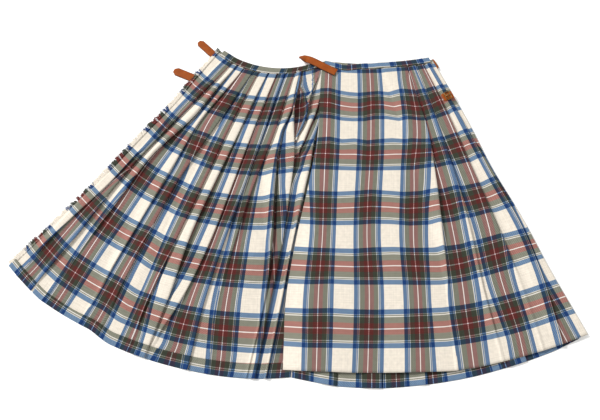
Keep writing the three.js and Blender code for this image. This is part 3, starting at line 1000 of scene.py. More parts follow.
# The pleats from left to right. Each has its name and, at every station, its edge's angle, the weave's column
# at the edge, the column where the next face starts, and the lift that slack gives the edge.
BACK_PLEATS = (
    Fold("P0", (37.2, 37.2, 37.0, 37.1, 37.65, 37.6), (19.5, 24.2, 22, 18.6, 18.6, 25.8),
         (19.5, 24.2, 22, 47, 34, 25.8), level(1.0)),
    Fold("P1", (34.85, 35.45, 36.05, 35.95, 35.4, 35.35), (40, 42, 34, 62, 76, 76),
         (80, 80, 88, 102, 100, 82), (3, 4, 4, 3, 3, 2)),
    Fold("P2", (33.15, 33.15, 34.7, 34.25, 33.9, 33.7), (94, 103, 103, 123, 125, 117.2),
         (163.5, 162, 144, 136.5, 129, 117.2), (6, 8, 6, 4, 2, 2)),
    Fold("P3", (31.0, 31.6, 30.65, 29.9, 29.35, 28.95), (181, 176.5, 187, 195, 202, 208.6),
         (232, 220, 208, 208.6, 208.6, 208.6), (2, 3, 3, 2, 2, 2)),
    Fold("P4", (27.9, 28.1, 28.45, 28.0, 27.3, 26.8), (254, 254, 235, 236, 246, 249.9),
         (311, 299, 262, 255, 255, 249.9), (2, 3, 3, 2, 2, 2)),
    Fold("P5", (26.0, 25.3, 24.5, 24.1, 23.65, 23.3), (326, 329, 329, 331, 336, 332.5),
         (366, 366, 366, 366, 353, 332.5), (2, 3, 3, 3, 3, 2), (
             Mark((27.0, 27.7, 27.3, 26.5, 25.7, 25.25), (318, 303.6, 273, 275, 279.5, 279.9),
                  (318, 303.6, 297, 296.4, 290.5, 290.1)),)),
    Fold("P6", (23.55, 23.1, 22.8, 22.5, 21.6, 21.25), (390, 387, 386, 388, 391, 377),
         (450, 443, 435, 434, 449, 479), (2, 3, 5, 6, 5, 3)),
    Fold("P7", (20.9, 20.4, 19.92, 19.58, 19.95, 20.9), (469, 470, 470, 471, 471, 480.5),
         (524, 519, 516, 514.5, 505, 481), (2, 3, 3, 4, 3, 2)),
    Fold("P8", (18.55, 18.05, 17.85, 17.7, 17.45, 16.85), (548, 545, 545, 550, 551, 551),
         (592, 594, 598, 584, 578, 563), (2, 3, 3, 3, 2, 2)),
    Fold("P9", (15.87, 15.85, 16.4, 16.3, 16.1, 15.0), (614, 615, 614, 606, 598, 595.6),
         (655, 655, 628, 612, 598, 595.6), (2, 3, 2, 2, 2, 2)),
    Fold("P10",
         (14.4, 14.2, 13.85, 13.4, 13.85, 14.2, 14.1, 14.0, 13.8, 13.7, 13.3, 12.8, 11.1, 10.5, 10.65),
         (660, 664, 668, 674, 682, 690, 691, 692, 693, 693, 695, 696, 700, 692, 673),
         (731, 731, 732, 733, 735, 735, 733, 732, 730, 729, 727, 723, 713, 692, 673),
         (1, 2, 4, 6, 6, 5, 6, 6, 7, 7, 8, 9, 8, 7, 4), stations=OPENING),
    Fold("P11",
         (13.9, 13.55, 13.27, 13.05, 12.45, 11.8, 11.35, 11.1, 10.65, 10.5, 10.25, 10.1, 9.65, 9.8, 9.85),
         (739, 739, 740, 743, 748, 755, 755, 755, 754, 754, 752, 751, 733, 704, 690),
         (800, 800, 799, 799, 799, 801, 804, 933, 940, 1000, 1004, 1012, 1018, 1018, 1021),
         (3, 6, 9, 10, 9, 6, 4, 4, 4, 4, 4, 3, 3, 3, 3), stations=OPENING),
    # The folded edge that faces the opening: the columns of its face slip one by one under its slanting edge.
    Fold("slant",
         (7.6, 8.15, 9.1, 9.48, 9.5, 10.05, 10.7, 10.55, 10.2, 10.05, 9.75, 9.65, 9.2, 9.42, 9.5),
         (902.5, 902.5, 888, 838, 836, 836, 836, 938, 945, 1006, 1009, 1017, 1023, 1022.5, 1026),
         (933, 933, 933, 934, 935, 935, 937, 938, 945, 1006, 1009, 1017, 1023, 1022.5, 1026),
         (3, 5, 8, 9, 9, 7, 3, *[FLAT] * 8), (
             Mark((14.6, 14, 11.9, 10.85, 10.25, 10.75, 11.2, 11, 10.5, 10.35, 10.1, 9.95, 9.5, 9.65, 9.7),
                  (801, 805, 811, 815, 815, 811, 806, 934, 941, 1002, 1006, 1014, 1020, 1020, 1023),
                  (824.5, 824.5, 824.5, 825, 825, 826, 826, 935, 942, 1003, 1007, 1015, 1021, 1021, 1024)),
             Mark((12.8, 11.5, 9.9, 8.0, *[5.0] * 11), level(836.0, OPENING), level(838.0, OPENING)),
             Mark((11.0, 10.4, 9.55, 8.0, *[4.8] * 11), level(852.0, OPENING), level(874.0, OPENING)),
             Mark((10.3, 9.65, 8.6, 7.8, *[4.6] * 11), level(882.0, OPENING), level(893.0, OPENING))),
         stations=OPENING, deepest=2.0, run=8.0),
    Fold("cream",
         (7.0, 6.9, 6.8, 7.0, 7.5, 8.4, 8.85, 9.12, 9.72, 9.55, 9.25, 9.15, 8.75, 9.02, 9.15),
         (950, 950, 951, 953, 952, 948, 950, 951, 952, 1011, 1014, 1022, 1028, 1028, 1031),
         (1000, 1000, 1000, 1000, 1000, 1000, 1000, 1000, 1000, 1011, 1014, 1022, 1028, 1028, 1031),
         (1, 1, 1, 1.5, 6, 6, 5, 4, 2, *[FLAT] * 6), stations=OPENING),
    Fold("P12",
         (6.3, 6.2, 6.0, 5.95, 6.1, 6.5, 6.8, 6.95, 7.05, 7.05, 7.1, 7.4, 8.15, 8.45, 8.7),
         (1012, 1012, 1013, 1015, 1018, 1020, 1024, 1027, 1033, 1036, 1041, 1046, 1037, 1038, 1040),
         (1070, 1072, 1075, 1078, 1080, 1080, 1080, 1080, 1079, 1078, 1077, 1075, 1070, 1066, 1066),
         (1, 1, 1, 1, 1.2, 3, 5, 6, 6, 6, 6, 7, 7, 6, 5), stations=OPENING),
)

# The back's hidden stretch, whose hem shows under the apron's.
HIDDEN_START = 1160.0                     # column where it leaves the fold beside the apron's free edge
HIDDEN_PLEATS = (
    Fold("H1", (-1, -1.2, -1.4, -1.6, -1.8, -2), level(1272.8), level(1317.6), level(0.0)),
    Fold("H2", (4.4, 4.0, 3.5, 3.0, 2.6, 2.2), level(1400.6), level(1447.6), level(0.0), (
        Mark(level(-0.35), level(1347.6), level(1349.6)), Mark(level(1.09), level(1376.5), level(1378.5)),)),
    Fold("H3", (10.2, 9.4, 8.6, 7.8, 7.1, 6.5), level(1544.0), level(1555.0), level(0.0), (
        Mark(level(3.36), level(1471.5), level(1473.5)), Mark(level(4.59), level(1500.4), level(1502.4)),)),
    Fold("H4", (17.4, 17, 16.7, 16.4, 16.1, 15.9), level(1801.0), level(1855.0), level(0.0), (
        Mark(level(8.2), level(1595.4), level(1597.4)), Mark(level(9.77), level(1632.6), level(1634.6)),
        Mark(level(11.49), level(1661.5), level(1663.5)), Mark(level(13.0), level(1691.4), level(1743.0)),
        Mark(level(15.22), level(1784.4), level(1786.4)),)),
)

# Soft folds of the under apron, left to right.
APRON_FOLDS = (
    Fold("FA", (15.3, 14.8, 13.25, 11.7, 10.4, 9.6), (145, 165, 180, 198, 211, 208.6),
         (232, 241, 228, 215, 211, 208.6), (0, 1.5, 6, 7, 5, 3), (
             Mark((-5.1, -4.6, -4.4, -4.2, -4.2, -4.0), level(-47.5), level(-45.5)),
             Mark((5.35, 4.05, 2.75, 1.78, 1.6, 1.07), level(47.5), level(49.5)),
             Mark((15.0, 12.85, 9.8, 7.9, 6.95, 6.15), level(142.5), level(144.5)),)),
    Fold("FB", (17.6, 17.0, 16.3, 15.4, 14.35, 13.9), (268, 266, 266.5, 272.5, 272.4, 284.5),
         (309, 311, 303.5, 297, 293.3, 284.5), (2, 3, 4, 4, 3, 3)),
    Fold("FC", (19.9, 19.7, 19.3, 19.05, 18.6, 18.0), (337, 337, 339.6, 348, 366.5, 372),
         (392, 388, 376, 367.6, 366.5, 372), (2, 3, 3, 3, 3, 2)),
    Fold("FD", (21.75, 21.8, 22.0, 21.9, 21.2, 20.1), (404, 406, 416, 411, 411, 411),
         (462, 460, 448, 449, 449, 425), (2, 2, 3, 3, 4, 4)),
)

BACK_CLOTH = FoldedCloth(
    BACK, start=FRINGE_EDGE, start_weave=(-7, 5.7, -1, -2.3, 1.4, 0.6), folds=BACK_PLEATS, end=BACK_END,
    base=LEVEL[0], steps=SHOWN_STEPS,
)
HIDDEN_CLOTH = FoldedCloth(
    UNDER, start=FREE_EDGE, start_weave=level(1205.4), folds=HIDDEN_PLEATS, end=SIDE_FOLD,
    base=LEVEL[0], steps=HIDDEN_STEPS, start_more=2.5, end_more=-SIDE_TAIL - 1,
)
APRON_CLOTH = FoldedCloth(
    APRON, start=FREE_EDGE, start_weave=(-66, -66, -74.7, -104, -109, -111), folds=APRON_FOLDS, end=SIDE_FOLD,
    base=LEVEL[4], steps=SHOWN_STEPS, end_more=-SIDE_INSET - 0.4,
)

# Main creases, each with its angle and its distance below the seam at both ends, its rise and its width.
BACK_CREASES = (
    Crease((36.3, 35.9), (20, 210), 1.6, 9), Crease((32.2, 32.6), (30, 150), 1.2, 7),
    Crease((29.6, 30.1), (40, 260), 1.4, 9), Crease((29.4, 28.4), (300, 640), 1.5, 14),
    Crease((24.4, 23.9), (60, 330), 1.0, 8), Crease((32.0, 31.4), (330, 640), 1.8, 16),
    Crease((22.0, 21.5), (250, 520), 1.2, 10), Crease((26.4, 25.2), (380, 650), 1.6, 13),
    Crease((18.9, 18.6), (350, 640), 1.3, 12), Crease((13.6, 13.0), (380, 650), 1.8, 18),
    Crease((16.9, 16.7), (50, 240), 0.9, 7), Crease((38.2, 38.0), (420, 640), 1.4, 13),
    Crease((15.0, 7.6), (-5, 150), 5.0, 3.5),
)
APRON_CREASES = (
    Crease((0.2, -0.6), (10, 330), 1.3, 15), Crease((-2.2, -2.9), (60, 500), -1.0, 17),
    Crease((3.4, 2.4), (30, 420), -1.2, 13), Crease((7.3, 5.2), (5, 480), 1.6, 15),
    Crease((9.8, 7.4), (40, 600), -1.3, 14), Crease((12.4, 9.4), (20, 360), 1.5, 12),
    Crease((13.2, 11.6), (330, 640), 1.4, 15), Crease((16.4, 15.0), (120, 430), 1.2, 9),
    Crease((18.6, 17.4), (150, 560), 1.0, 11), Crease((20.9, 20.6), (60, 330), 1.1, 9),
    Crease((2.6, 3.4), (420, 640), 0.9, 20), Crease((16.2, 16.9), (470, 650), 1.3, 16),
)
HIDDEN_CREASES = (
    Crease((3.6, 3.2), (200, 600), 0.8, 12), Crease((9.0, 8.4), (300, 650), 0.8, 14),
    Crease((13.4, 12.6), (120, 560), 0.8, 12),
)


# ---------------------------------------------------------------- meshes
def linked(name: str, bm: bmesh.types.BMesh) -> bpy.types.Object:
    """Turn a bmesh into an object in the scene.

    Args:
        name: the piece's name.
        bm: its mesh, which is freed.

    Returns:
        The object, at the origin.
    """
    mesh = bpy.data.meshes.new(name)
    bm.to_mesh(mesh)
    bm.free()
    for polygon in mesh.polygons:
        polygon.use_smooth = True
    obj = bpy.data.objects.new(name, mesh)
    bpy.context.scene.collection.objects.link(obj)
    return obj


def grid_cloth(bm: bmesh.types.BMesh, places: np.ndarray, weave: np.ndarray,
               layer_name: str = WEAVE_MAP) -> None:
    """Lay a grid of faces over rows of places.

    Args:
        bm: the mesh that the grid is added to.
        places: rows by columns by three, millimetres, the first row at the waist and columns left to right.
        weave: rows by columns by two, the cloth's own columns and rows, in millimetres.
        layer_name: name of the UV layer that keeps the weave.
    """
    rows, columns = places.shape[:2]
    layer = bm.loops.layers.uv.get(layer_name) or bm.loops.layers.uv.new(layer_name)
    made = bmesh.ops.create_grid(bm, x_segments=columns - 1, y_segments=rows - 1, size=1.0)["verts"]
    spots = {}
    for vert in made:
        column = round((vert.co.x + 1) / 2 * (columns - 1))
        row = rows - 1 - round((vert.co.y + 1) / 2 * (rows - 1))
        spots[vert] = (row, column)
    for vert, (row, column) in spots.items():
        vert.co = Vector(places[row, column]) * MM
    for face in {face for vert in made for face in vert.link_faces}:
        for loop in face.loops:
            row, column = spots[loop.vert]
            loop[layer].uv = weave[row, column] * MM


def thicken(obj: bpy.types.Object, thickness: float) -> None:
    """Give a sheet its thickness, half on each side."""
    wall = obj.modifiers.new("wall", "SOLIDIFY")
    wall.thickness = thickness * MM
    wall.offset = 0.0


def dress(obj: bpy.types.Object, material: bpy.types.Material, slot: str, *nodes: str) -> bpy.types.Object:
    """Give a piece its material and its body, and hide the CAD nodes that it stands for.

    Args:
        obj: the piece.
        material: its finish.
        slot: not used.
        *nodes: CAD nodes, none where the piece is an addition.

    Returns:
        The piece.
    """
    obj.data.materials.append(material)
    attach(obj, BODY)
    if nodes:
        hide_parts(*nodes)
    return obj


def unevenness(x: np.ndarray, y: np.ndarray, size: float) -> np.ndarray:
    """Slow, slight waves that no laid cloth is without.

    Args:
        x: places across, millimetres.
        y: places along, millimetres.
        size: the most that they add or take.

    Returns:
        Millimetres.
    """
    waves = np.sin(x / 31 + y / 57) + np.sin(x / 47 - y / 23 + 1.3) + np.sin(y / 39 - x / 83 + 2.1)
    return size * waves / 3


def rows_down() -> np.ndarray:
    """The rows of a panel's mesh, from behind the waistband to the hem."""
    return np.linspace(-PANEL_ABOVE, HEM, int((HEM + PANEL_ABOVE) / ROW_PITCH) + 1)


# Where the straps sewn beneath hold the cloth up, and over what distance it comes down again.
HIP_STRAP, HIP_HALF, HIP_SLOPE = 90.0, 16.0, 22.0         # down the cloth, from the hip strap's middle
WAIST_END, WAIST_SLOPE = 40.0, 30.0                       # down the cloth, from the seam
STRAP_END, STRAP_SLOPE = 22.0, 25.0                       # inward of the fringed edge


def over_strap(angle: np.ndarray, down: float) -> np.ndarray:
    """How far the straps sewn beneath lift the cloth near the fringed edge.

    Args:
        angle: degrees to the left.
        down: millimetres below the seam.

    Returns:
        Millimetres of lift.
    """
    inward = (along(FRINGE_EDGE, down) - angle) * BACK.arc(down)
    near = 1 - ease((inward - STRAP_END) / STRAP_SLOPE)
    hip = 1 - ease((abs(down - HIP_STRAP) - HIP_HALF) / HIP_SLOPE)
    waist = 1 - ease((down - WAIST_END) / WAIST_SLOPE)
    return (STRAP_THICK + 0.3) * near * max(hip, waist)


def weave_at(weave: np.ndarray, x: np.ndarray, y: np.ndarray, down: float) -> np.ndarray:
    """The cloth's own column and row at each point, with the slight skew of a worn cloth.

    Args:
        weave: columns, millimetres.
        x: places in the part's frame.
        y: places in the part's frame.
        down: millimetres below the seam.

    Returns:
        Columns and rows side by side.
    """
    return np.stack([weave + unevenness(y, x, 0.6), down + unevenness(x + 90, y, 1.3)], axis=-1)


@dataclass
class Cloth:
    """Shared finish of the cloth pieces."""

    material: bpy.types.Material

    def finish(self, bm: bmesh.types.BMesh, name: str, slot: str, *nodes: str,
               thickness: float = WALL) -> bpy.types.Object:
        """Make a cloth piece from its mesh: wall, material and body.

        Args:
            bm: the piece's mesh.
            name: the piece's name.
            slot: name of a material slot, handed on.
            *nodes: CAD nodes that it stands for.
            thickness: of its wall.

        Returns:
            The piece.
        """
        obj = linked(name, bm)
        thicken(obj, thickness)
        return dress(obj, self.material, slot, *nodes)

    def lay(self, rows: list[tuple[np.ndarray, np.ndarray]], name: str, slot: str, node: str
            ) -> bpy.types.Object:
        """Make a cloth piece from its rows.

        Args:
            rows: places and weave of each row, from the waist down.
            name: the piece's name.
            slot: name of a material slot, handed on.
            node: CAD node that it stands for.

        Returns:
            The piece.
        """
        bm = bmesh.new()
        grid_cloth(bm, np.array([row[0] for row in rows]), np.array([row[1] for row in rows]))
        return self.finish(bm, name, slot, node)


@dataclass
class OpenedSide(Cloth):
    """The over apron and the pleated back, inside up."""

    hem_wall: float = 1.0
    turn_reach: float = 30.0     # how far up the cloth the turn-up's slope is read
    open_tuck: float = 1.5       # a narrower tuck than this leaves the turn-up in one strip
    bridge: int = 9              # columns from the opened side to the stretch under the apron
    hem_weave: float = 658.5     # row of the weave at the turn-up's fold
    turn_up_angles: tuple[float, ...] = (6, 12, 16, 20, 24, 30, 37)
    turn_up_widths: tuple[float, ...] = (27, 26, 25, 24, 23, 18, 19)
    turn_up_rows: tuple[float, ...] = (1.0, 0.86, 0.72, 0.57, 0.42, 0.28, 0.14, 0.05, 0.015, -0.01)
    turn_up_lift: float = 1.15   # how far above the panel's middle it lies
    raw_lift: float = 0.25       # how much further its raw edge stands up
    strip_more: float = 1.1      # how far each strip runs under the fold on its left

    def row(self, down: float) -> tuple[np.ndarray, np.ndarray]:
        """Places and weave of one row of the whole opened side.

        Args:
            down: millimetres below the seam.

        Returns:
            Places, and the weave's columns and rows.
        """
        section = BACK_CLOTH.section(down)
        arc = BACK.arc(down)
        angle = -section.across / arc
        x, y = BACK.place(angle, down)
        z = section.height + over_strap(angle, down) + self.softness(angle, down, arc)
        return np.stack([x, y, z], axis=-1), weave_at(section.weave, x, y, down)

    @staticmethod
    def softness(angle: np.ndarray, down: float, arc: float) -> np.ndarray:
        """Creases and waves, the same for every layer above a point."""
        added = sum(crease.height(angle, down, arc) for crease in BACK_CREASES)
        return np.maximum(0.0, added + unevenness(angle * arc, np.full_like(angle, down), 0.5) + 0.5)

    def panels(self) -> tuple[bpy.types.Object, bpy.types.Object]:
        """Both panels, cut from the same rows.

        Returns:
            The over apron and the pleated back.
        """
        split = SHOWN_STEPS.total * PANEL_SPLIT - SHOWN_STEPS.bottom - SHOWN_STEPS.turn
        restart = split + SHOWN_STEPS.turn
        over, back = [], []
        for down in rows_down():
            shown, hidden = self.row(down), self.hidden_row(down)
            over.append(tuple(part[:split] for part in shown))
            back.append(tuple(np.concatenate([part[restart:], more]) for part, more in zip(shown, hidden)))
        return (self.lay(over, "over_apron_cloth", "check_cloth", "over_apron"),
                self.lay(back, "pleated_back_cloth", "check_cloth", "pleated_back"))

    def hidden_row(self, down: float) -> tuple[np.ndarray, np.ndarray]:
        """Places and weave of one row of the back's stretch under the apron, joined to the opened side.

        Args:
            down: millimetres below the seam.

        Returns:
            Places, and the weave's columns and rows.
        """
        section = HIDDEN_CLOTH.section(down)
        arc = UNDER.arc(down)
        angle = section.across / arc
        x, y = UNDER.place(angle, down)
        z = section.height + sum(crease.height(angle, down, arc) for crease in HIDDEN_CREASES)
        places, weave = np.stack([x, y, z], axis=-1), weave_at(section.weave, x, y, down)
        share = np.linspace(0, 1, self.bridge, endpoint=False)[1:, None]
        start, start_weave = (part[-1] for part in self.row(down))
        first = np.array([HIDDEN_START, start_weave[1]])
        return (np.concatenate([start + (places[0] - start) * share, places]),
                np.concatenate([first + (weave[0] - first) * share, weave]))

    def turn_up(self, name: str, folds: range, hidden: bool = False) -> bpy.types.Object:
        """The turned-up hem, lying on the faces of a panel.

        Args:
            name: the piece's name.
            folds: which folds' faces it lies on, counted from the left.
            hidden: whether it is the stretch that shows below the apron's hem.

        Returns:
            The piece, with one strip from each closed fold to the next.
        """
        cloth = HIDDEN_CLOTH if hidden else BACK_CLOTH
        reader = self.hidden_row if hidden else self.row
        low, low_weave = reader(HEM)
        high = reader(HEM - self.turn_reach)[0]
        more = self.bridge - 1 if hidden else 0
        steps = cloth.steps
        bm = bmesh.new()
        first = folds.start * steps.total + (more if folds.start else 0)
        for number in folds:
            if number < len(cloth.folds):
                fold = cloth.folds[number]
                if fold.past[-1] - fold.at_edge[-1] < 2 * self.open_tuck and number + 1 in folds:
                    continue
                last = number * steps.total + steps.shown + more
            else:
                last = low.shape[0]
            self.strip(bm, low[first:last], high[first:last], low_weave[first:last, 0], hidden)
            first = (number + 1) * steps.total + more
        return self.finish(bm, name, "check_cloth", thickness=self.hem_wall)

    def strip(self, bm: bmesh.types.BMesh, low: np.ndarray, high: np.ndarray, columns: np.ndarray,
              hidden: bool) -> None:
        """One strip of the turn-up.

        Args:
            bm: the mesh that it is added to.
            low: places along the hem.
            high: places higher up the cloth.
            columns: the weave's columns.
            hidden: whether it lies under the apron.
        """
        low, high = low.copy(), high.copy()
        for line in (low, high):
            outward = line[0, :2] - line[1, :2]
            line[0, :2] += outward / np.linalg.norm(outward) * self.strip_more
        inward = np.array(BACK.pivot) - np.array(CENTRE) - low[:, :2]
        angle = np.degrees(np.arctan2(inward[:, 0], inward[:, 1]))
        width = np.full(angle.shape, self.turn_reach)
        if not hidden:
            width = np.interp(angle, self.turn_up_angles, self.turn_up_widths)
        places, weave = [], []
        for share in self.turn_up_rows:
            row = low + (high - low) * (share * width / self.turn_reach)[:, None]
            row[:, 2] += self.turn_up_lift * float(ease((share + 0.02) / 0.04))
            row[:, 2] += self.raw_lift * float(ease((share - 0.8) / 0.2))
            places.append(row)
            weave.append(np.stack([columns, self.hem_weave + share * width], axis=-1))
        grid_cloth(bm, np.array(places), np.array(weave))


@dataclass
class FoldedApron(Cloth):
    """The under apron, outside up, with its rounded fold at the skirt's right side."""

    nose_steps: int = 12
    tail_steps: int = 5
    tail_gather: float = 3.0     # cloth taken up where the turn meets the tail
    fade: tuple[float, ...] = (0.7, 0.4, 0.1)    # how the soft folds die out towards the turn
    flute_height: float = 3.0
    flute_from: float = 1.5      # angle of a trough between two flutes
    flute_rate: float = 38.0     # how fast the flutes follow each other, degrees of wave to one of angle
    flute_end: float = 12.0      # where they have died out
    flute_over: float = 3.0      # degrees over which they rise and die out
    flute_below: float = 120.0   # how far below the seam they reach their full height

    def flute(self, angle: np.ndarray, down: float) -> np.ndarray:
        """Soft flutes between the folds, fading towards the edges and the waist.

        Args:
            angle: degrees to the right.
            down: millimetres below the seam.

        Returns:
            Millimetres of height.
        """
        left = ease((angle - along(FREE_EDGE, down)) / self.flute_over)
        right = ease((self.flute_end - angle) / self.flute_over)
        wave = (1 - np.cos(np.radians((angle - self.flute_from) * self.flute_rate))) / 2
        return self.flute_height * left * right * ease(down / self.flute_below) * wave

    def row(self, down: float) -> tuple[np.ndarray, np.ndarray]:
        """Places and weave of one row.

        Args:
            down: millimetres below the seam.

        Returns:
            Places, and the weave's columns and rows.
        """
        section = APRON_CLOTH.section(down)
        arc = APRON.arc(down)
        side = along(SIDE_FOLD, down) * arc
        turn = np.linspace(0, math.pi, self.nose_steps)
        nose_x = side - SIDE_INSET + SIDE_RADIUS * np.sin(turn)
        nose_z = LEVEL[0] + SIDE_RADIUS * (1 + np.cos(turn))
        tail_x = np.linspace(side - SIDE_INSET, side - SIDE_TAIL, self.tail_steps + 1)[1:]
        across = np.concatenate([section.across, nose_x, tail_x])
        nose_weave = section.weave[-1] + SIDE_RADIUS * turn
        tail_weave = nose_weave[-1] + tail_x[0] - tail_x + self.tail_gather
        weave = np.concatenate([section.weave, nose_weave, tail_weave])
        angle = across / arc
        soft = sum(crease.height(angle, down, arc) for crease in APRON_CREASES)
        soft = soft + unevenness(across, np.full_like(across, down), 0.5)
        fade = np.concatenate([np.ones(section.across.size - len(self.fade)), self.fade,
                               np.zeros(nose_x.size + tail_x.size)])
        z = np.concatenate([section.height, nose_z, np.full(tail_x.size, LEVEL[0])])
        z = z + self.flute(angle, down) * fade + np.maximum(-0.2, soft) * fade
        x, y = APRON.place(angle, down)
        return np.stack([x, y, z], axis=-1), weave_at(weave, x, y, down)

    def build(self) -> bpy.types.Object:
        """Make the apron.

        Returns:
            The piece.
        """
        rows = [self.row(down) for down in rows_down()]
        return self.lay(rows, "under_apron_cloth", "check_cloth", "under_apron")


@dataclass
class Waistbands(Cloth):
    """The two stretches of the narrow waistband, each with softly rounded edges."""

    roll: float = 0.7                             # how far its edges roll down
    columns: int = 150
    opened: tuple[float, float] = (38.9, 9.5)     # angles of the inner face along the opened side
    covered: tuple[float, float] = (-5.5, 18.5)   # and under the apron
    apron: tuple[float, float] = (-6.4, 22.0)     # angles of the outer face along the apron
    opened_arc: float = 7.3                       # millimetres of band for one degree
    covered_arc: float = 8.2
    apron_arc: float = 6.4
    inner_blue: float = 12.0                      # where the inner face's first blue stripe starts
    inner_scale: float = 0.77                     # the band's check against the cloth's
    outer_cream: float = 8.35                     # angle of a cream stripe's middle on the outer face
    outer_row: float = 3.2                        # row of the weave along the outer face's seam
    slack: tuple[float, float, float] = (-0.9, 3.4, 6.5)      # angle, half width and depth of the dip
    lifted_from: float = 6.0                      # angle where the apron's folds start to lift the outer face
    lifted_over: float = 3.0                      # degrees over which they do

    def profile(self) -> tuple[np.ndarray, np.ndarray]:
        """Rows of the band and how far their edges roll down.

        Returns:
            Distances below the seam, and drops.
        """
        downs = np.linspace(-BAND_ABOVE, BAND_BELOW, 10)
        middle, half = (BAND_BELOW - BAND_ABOVE) / 2, (BAND_ABOVE + BAND_BELOW) / 2
        return downs, self.roll * np.abs((downs - middle) / half) ** 4

    def inner(self) -> bpy.types.Object:
        """The band's inner face along the opened side, running on under the apron.

        Returns:
            The piece.
        """
        opened = np.linspace(*self.opened, self.columns)
        covered = np.linspace(*self.covered, self.columns // 2)
        opened_run = (self.opened[0] - opened) * self.opened_arc
        covered_run = opened_run[-1] + (covered - self.covered[0]) * self.covered_arc
        run = np.concatenate([opened_run, covered_run])
        columns = WARP_SETT.stripes[0].width + (run - self.inner_blue) * self.inner_scale
        rows = []
        for down, drop in zip(*self.profile()):
            x1, y1 = BACK.place(opened, down)
            z1 = LEVEL[3] + over_strap(opened, down) - drop + unevenness(opened * 7, opened, 0.35)
            x2, y2 = APRON.place(covered, down)
            z2 = np.full_like(covered, LEVEL[3] - drop)
            places = np.concatenate([np.stack([x1, y1, z1], axis=-1), np.stack([x2, y2, z2], axis=-1)])
            rows.append((places, np.stack([columns, np.full_like(columns, down - 0.5)], axis=-1)))
        return self.lay(rows, "inner_waistband_cloth", "band_cloth", "inner_waistband")

    def outer(self) -> bpy.types.Object:
        """The band's outer face along the apron.

        Returns:
            The piece.
        """
        angles = np.linspace(*self.apron, self.columns)
        over_folds = 2 * LAYER * ease((angles - self.lifted_from) / self.lifted_over)
        columns = self.apron_arc * (angles - self.outer_cream)
        rows = []
        for down, drop in zip(*self.profile()):
            x, y = APRON.place(angles, down + self.dip(angles))
            z = LEVEL[5] + over_folds - drop + unevenness(angles * 8, angles, 0.3)
            weave = np.stack([columns, np.full_like(angles, self.outer_row - down)], axis=-1)
            rows.append((np.stack([x, y, z], axis=-1), weave))
        return self.lay(rows, "apron_waistband_cloth", "band_cloth", "apron_waistband")

    def dip(self, angles: np.ndarray) -> np.ndarray:
        """The band's slack near its end: it dips between the strap and the apron's middle."""
        middle, wide, deep = self.slack
        return deep * np.exp(-((angles - middle) / wide) ** 2)


@dataclass
class SelfFringe:
    """Pulled weft ends along the over apron's free edge, in small tufts."""

    material: bpy.types.Material
    reach: float = 13.5
    inset: float = 4.5           # where the yarns come out, inward of the cut edge
    tufts: int = 205
    yarns: int = 11
    thick: float = 1.9
    above: float = 4.0           # how far above the seam the fringe starts

    def build(self) -> bpy.types.Object:
        """Make the fringe.

        Returns:
            The piece, all its yarns joined.
        """
        rng = random.Random(7)
        bm = bmesh.new()
        bm.loops.layers.uv.new(WEAVE_MAP)
        stub = self.stub()
        for tuft in range(self.tufts):
            middle = -self.above + (HEM + 2) * (tuft + rng.uniform(-0.3, 0.3)) / self.tufts
            lean = rng.uniform(-0.35, 0.35)
            long = self.reach * rng.uniform(0.75, 1.05)
            for _ in range(self.yarns):
                down = min(HEM - 1, max(-self.above, middle + rng.uniform(-1.7, 1.7)))
                self.yarn(bm, stub, rng, down, lean + rng.uniform(-0.25, 0.25), long * rng.uniform(0.8, 1.1))
        bpy.data.meshes.remove(stub)
        return dress(linked("fringe_yarns", bm), self.material, "fringe_yarn", "fringe")

    def yarn(self, bm: bmesh.types.BMesh, stub: bpy.types.Mesh, rng: random.Random,
             down: float, lean: float, long: float) -> None:
        """One yarn end: a tapered stub that curls a little.

        Args:
            bm: the mesh that it is added to.
            stub: a straight yarn end.
            rng: the fringe's random draws.
            down: where it leaves the edge, millimetres below the seam.
            lean: how far it leans along the edge, as a slope.
            long: its length.
        """
        edge = along(FRINGE_EDGE, down)
        arc = BACK.arc(down)
        lift = float(over_strap(np.array([edge]), down)[0])
        root_x, root_y = BACK.place(np.array([edge - self.inset / arc]), down)
        out_x, out_y = BACK.place(np.array([edge + 10.0 / arc]), down)
        out = Vector((out_x[0] - root_x[0], out_y[0] - root_y[0], 0)).normalized()
        side = Vector((-out.y, out.x, 0))
        root = Vector((root_x[0], root_y[0], LEVEL[0] + WALL / 2 + lift + rng.uniform(0.1, 0.9)))
        bow = rng.uniform(-1.4, 1.4)
        layer = bm.loops.layers.uv[WEAVE_MAP]
        bm.from_mesh(stub)
        bm.verts.ensure_lookup_table()
        verts = bm.verts[-len(stub.vertices):]
        for vert in verts:
            t = vert.co.z + 0.5
            centre = root + out * (long * t) + side * (long * lean * t + bow * t * t)
            centre.z = max(self.thick / 2, centre.z - (centre.z - 0.5) * t * 0.8)
            vert.co = (centre + side * vert.co.x + Vector((0, 0, vert.co.y))) * MM
        for face in {face for vert in verts for face in vert.link_faces}:
            for loop in face.loops:
                loop[layer].uv = (0.0, down * MM)

    def stub(self) -> bpy.types.Mesh:
        """A straight yarn end one long, with joints to bend at.

        Returns:
            Its mesh.
        """
        bm = bmesh.new()
        bmesh.ops.create_cone(
            bm, segments=5, radius1=self.thick / 2, radius2=self.thick / 5, depth=1.0, cap_ends=True)
        lengthwise = [e for e in bm.edges if abs(e.verts[0].co.z - e.verts[1].co.z) > 0.5]
        bmesh.ops.subdivide_edges(bm, edges=lengthwise, cuts=2)
        mesh = bpy.data.meshes.new("yarn_stub")
        bm.to_mesh(mesh)
        bm.free()
        return mesh


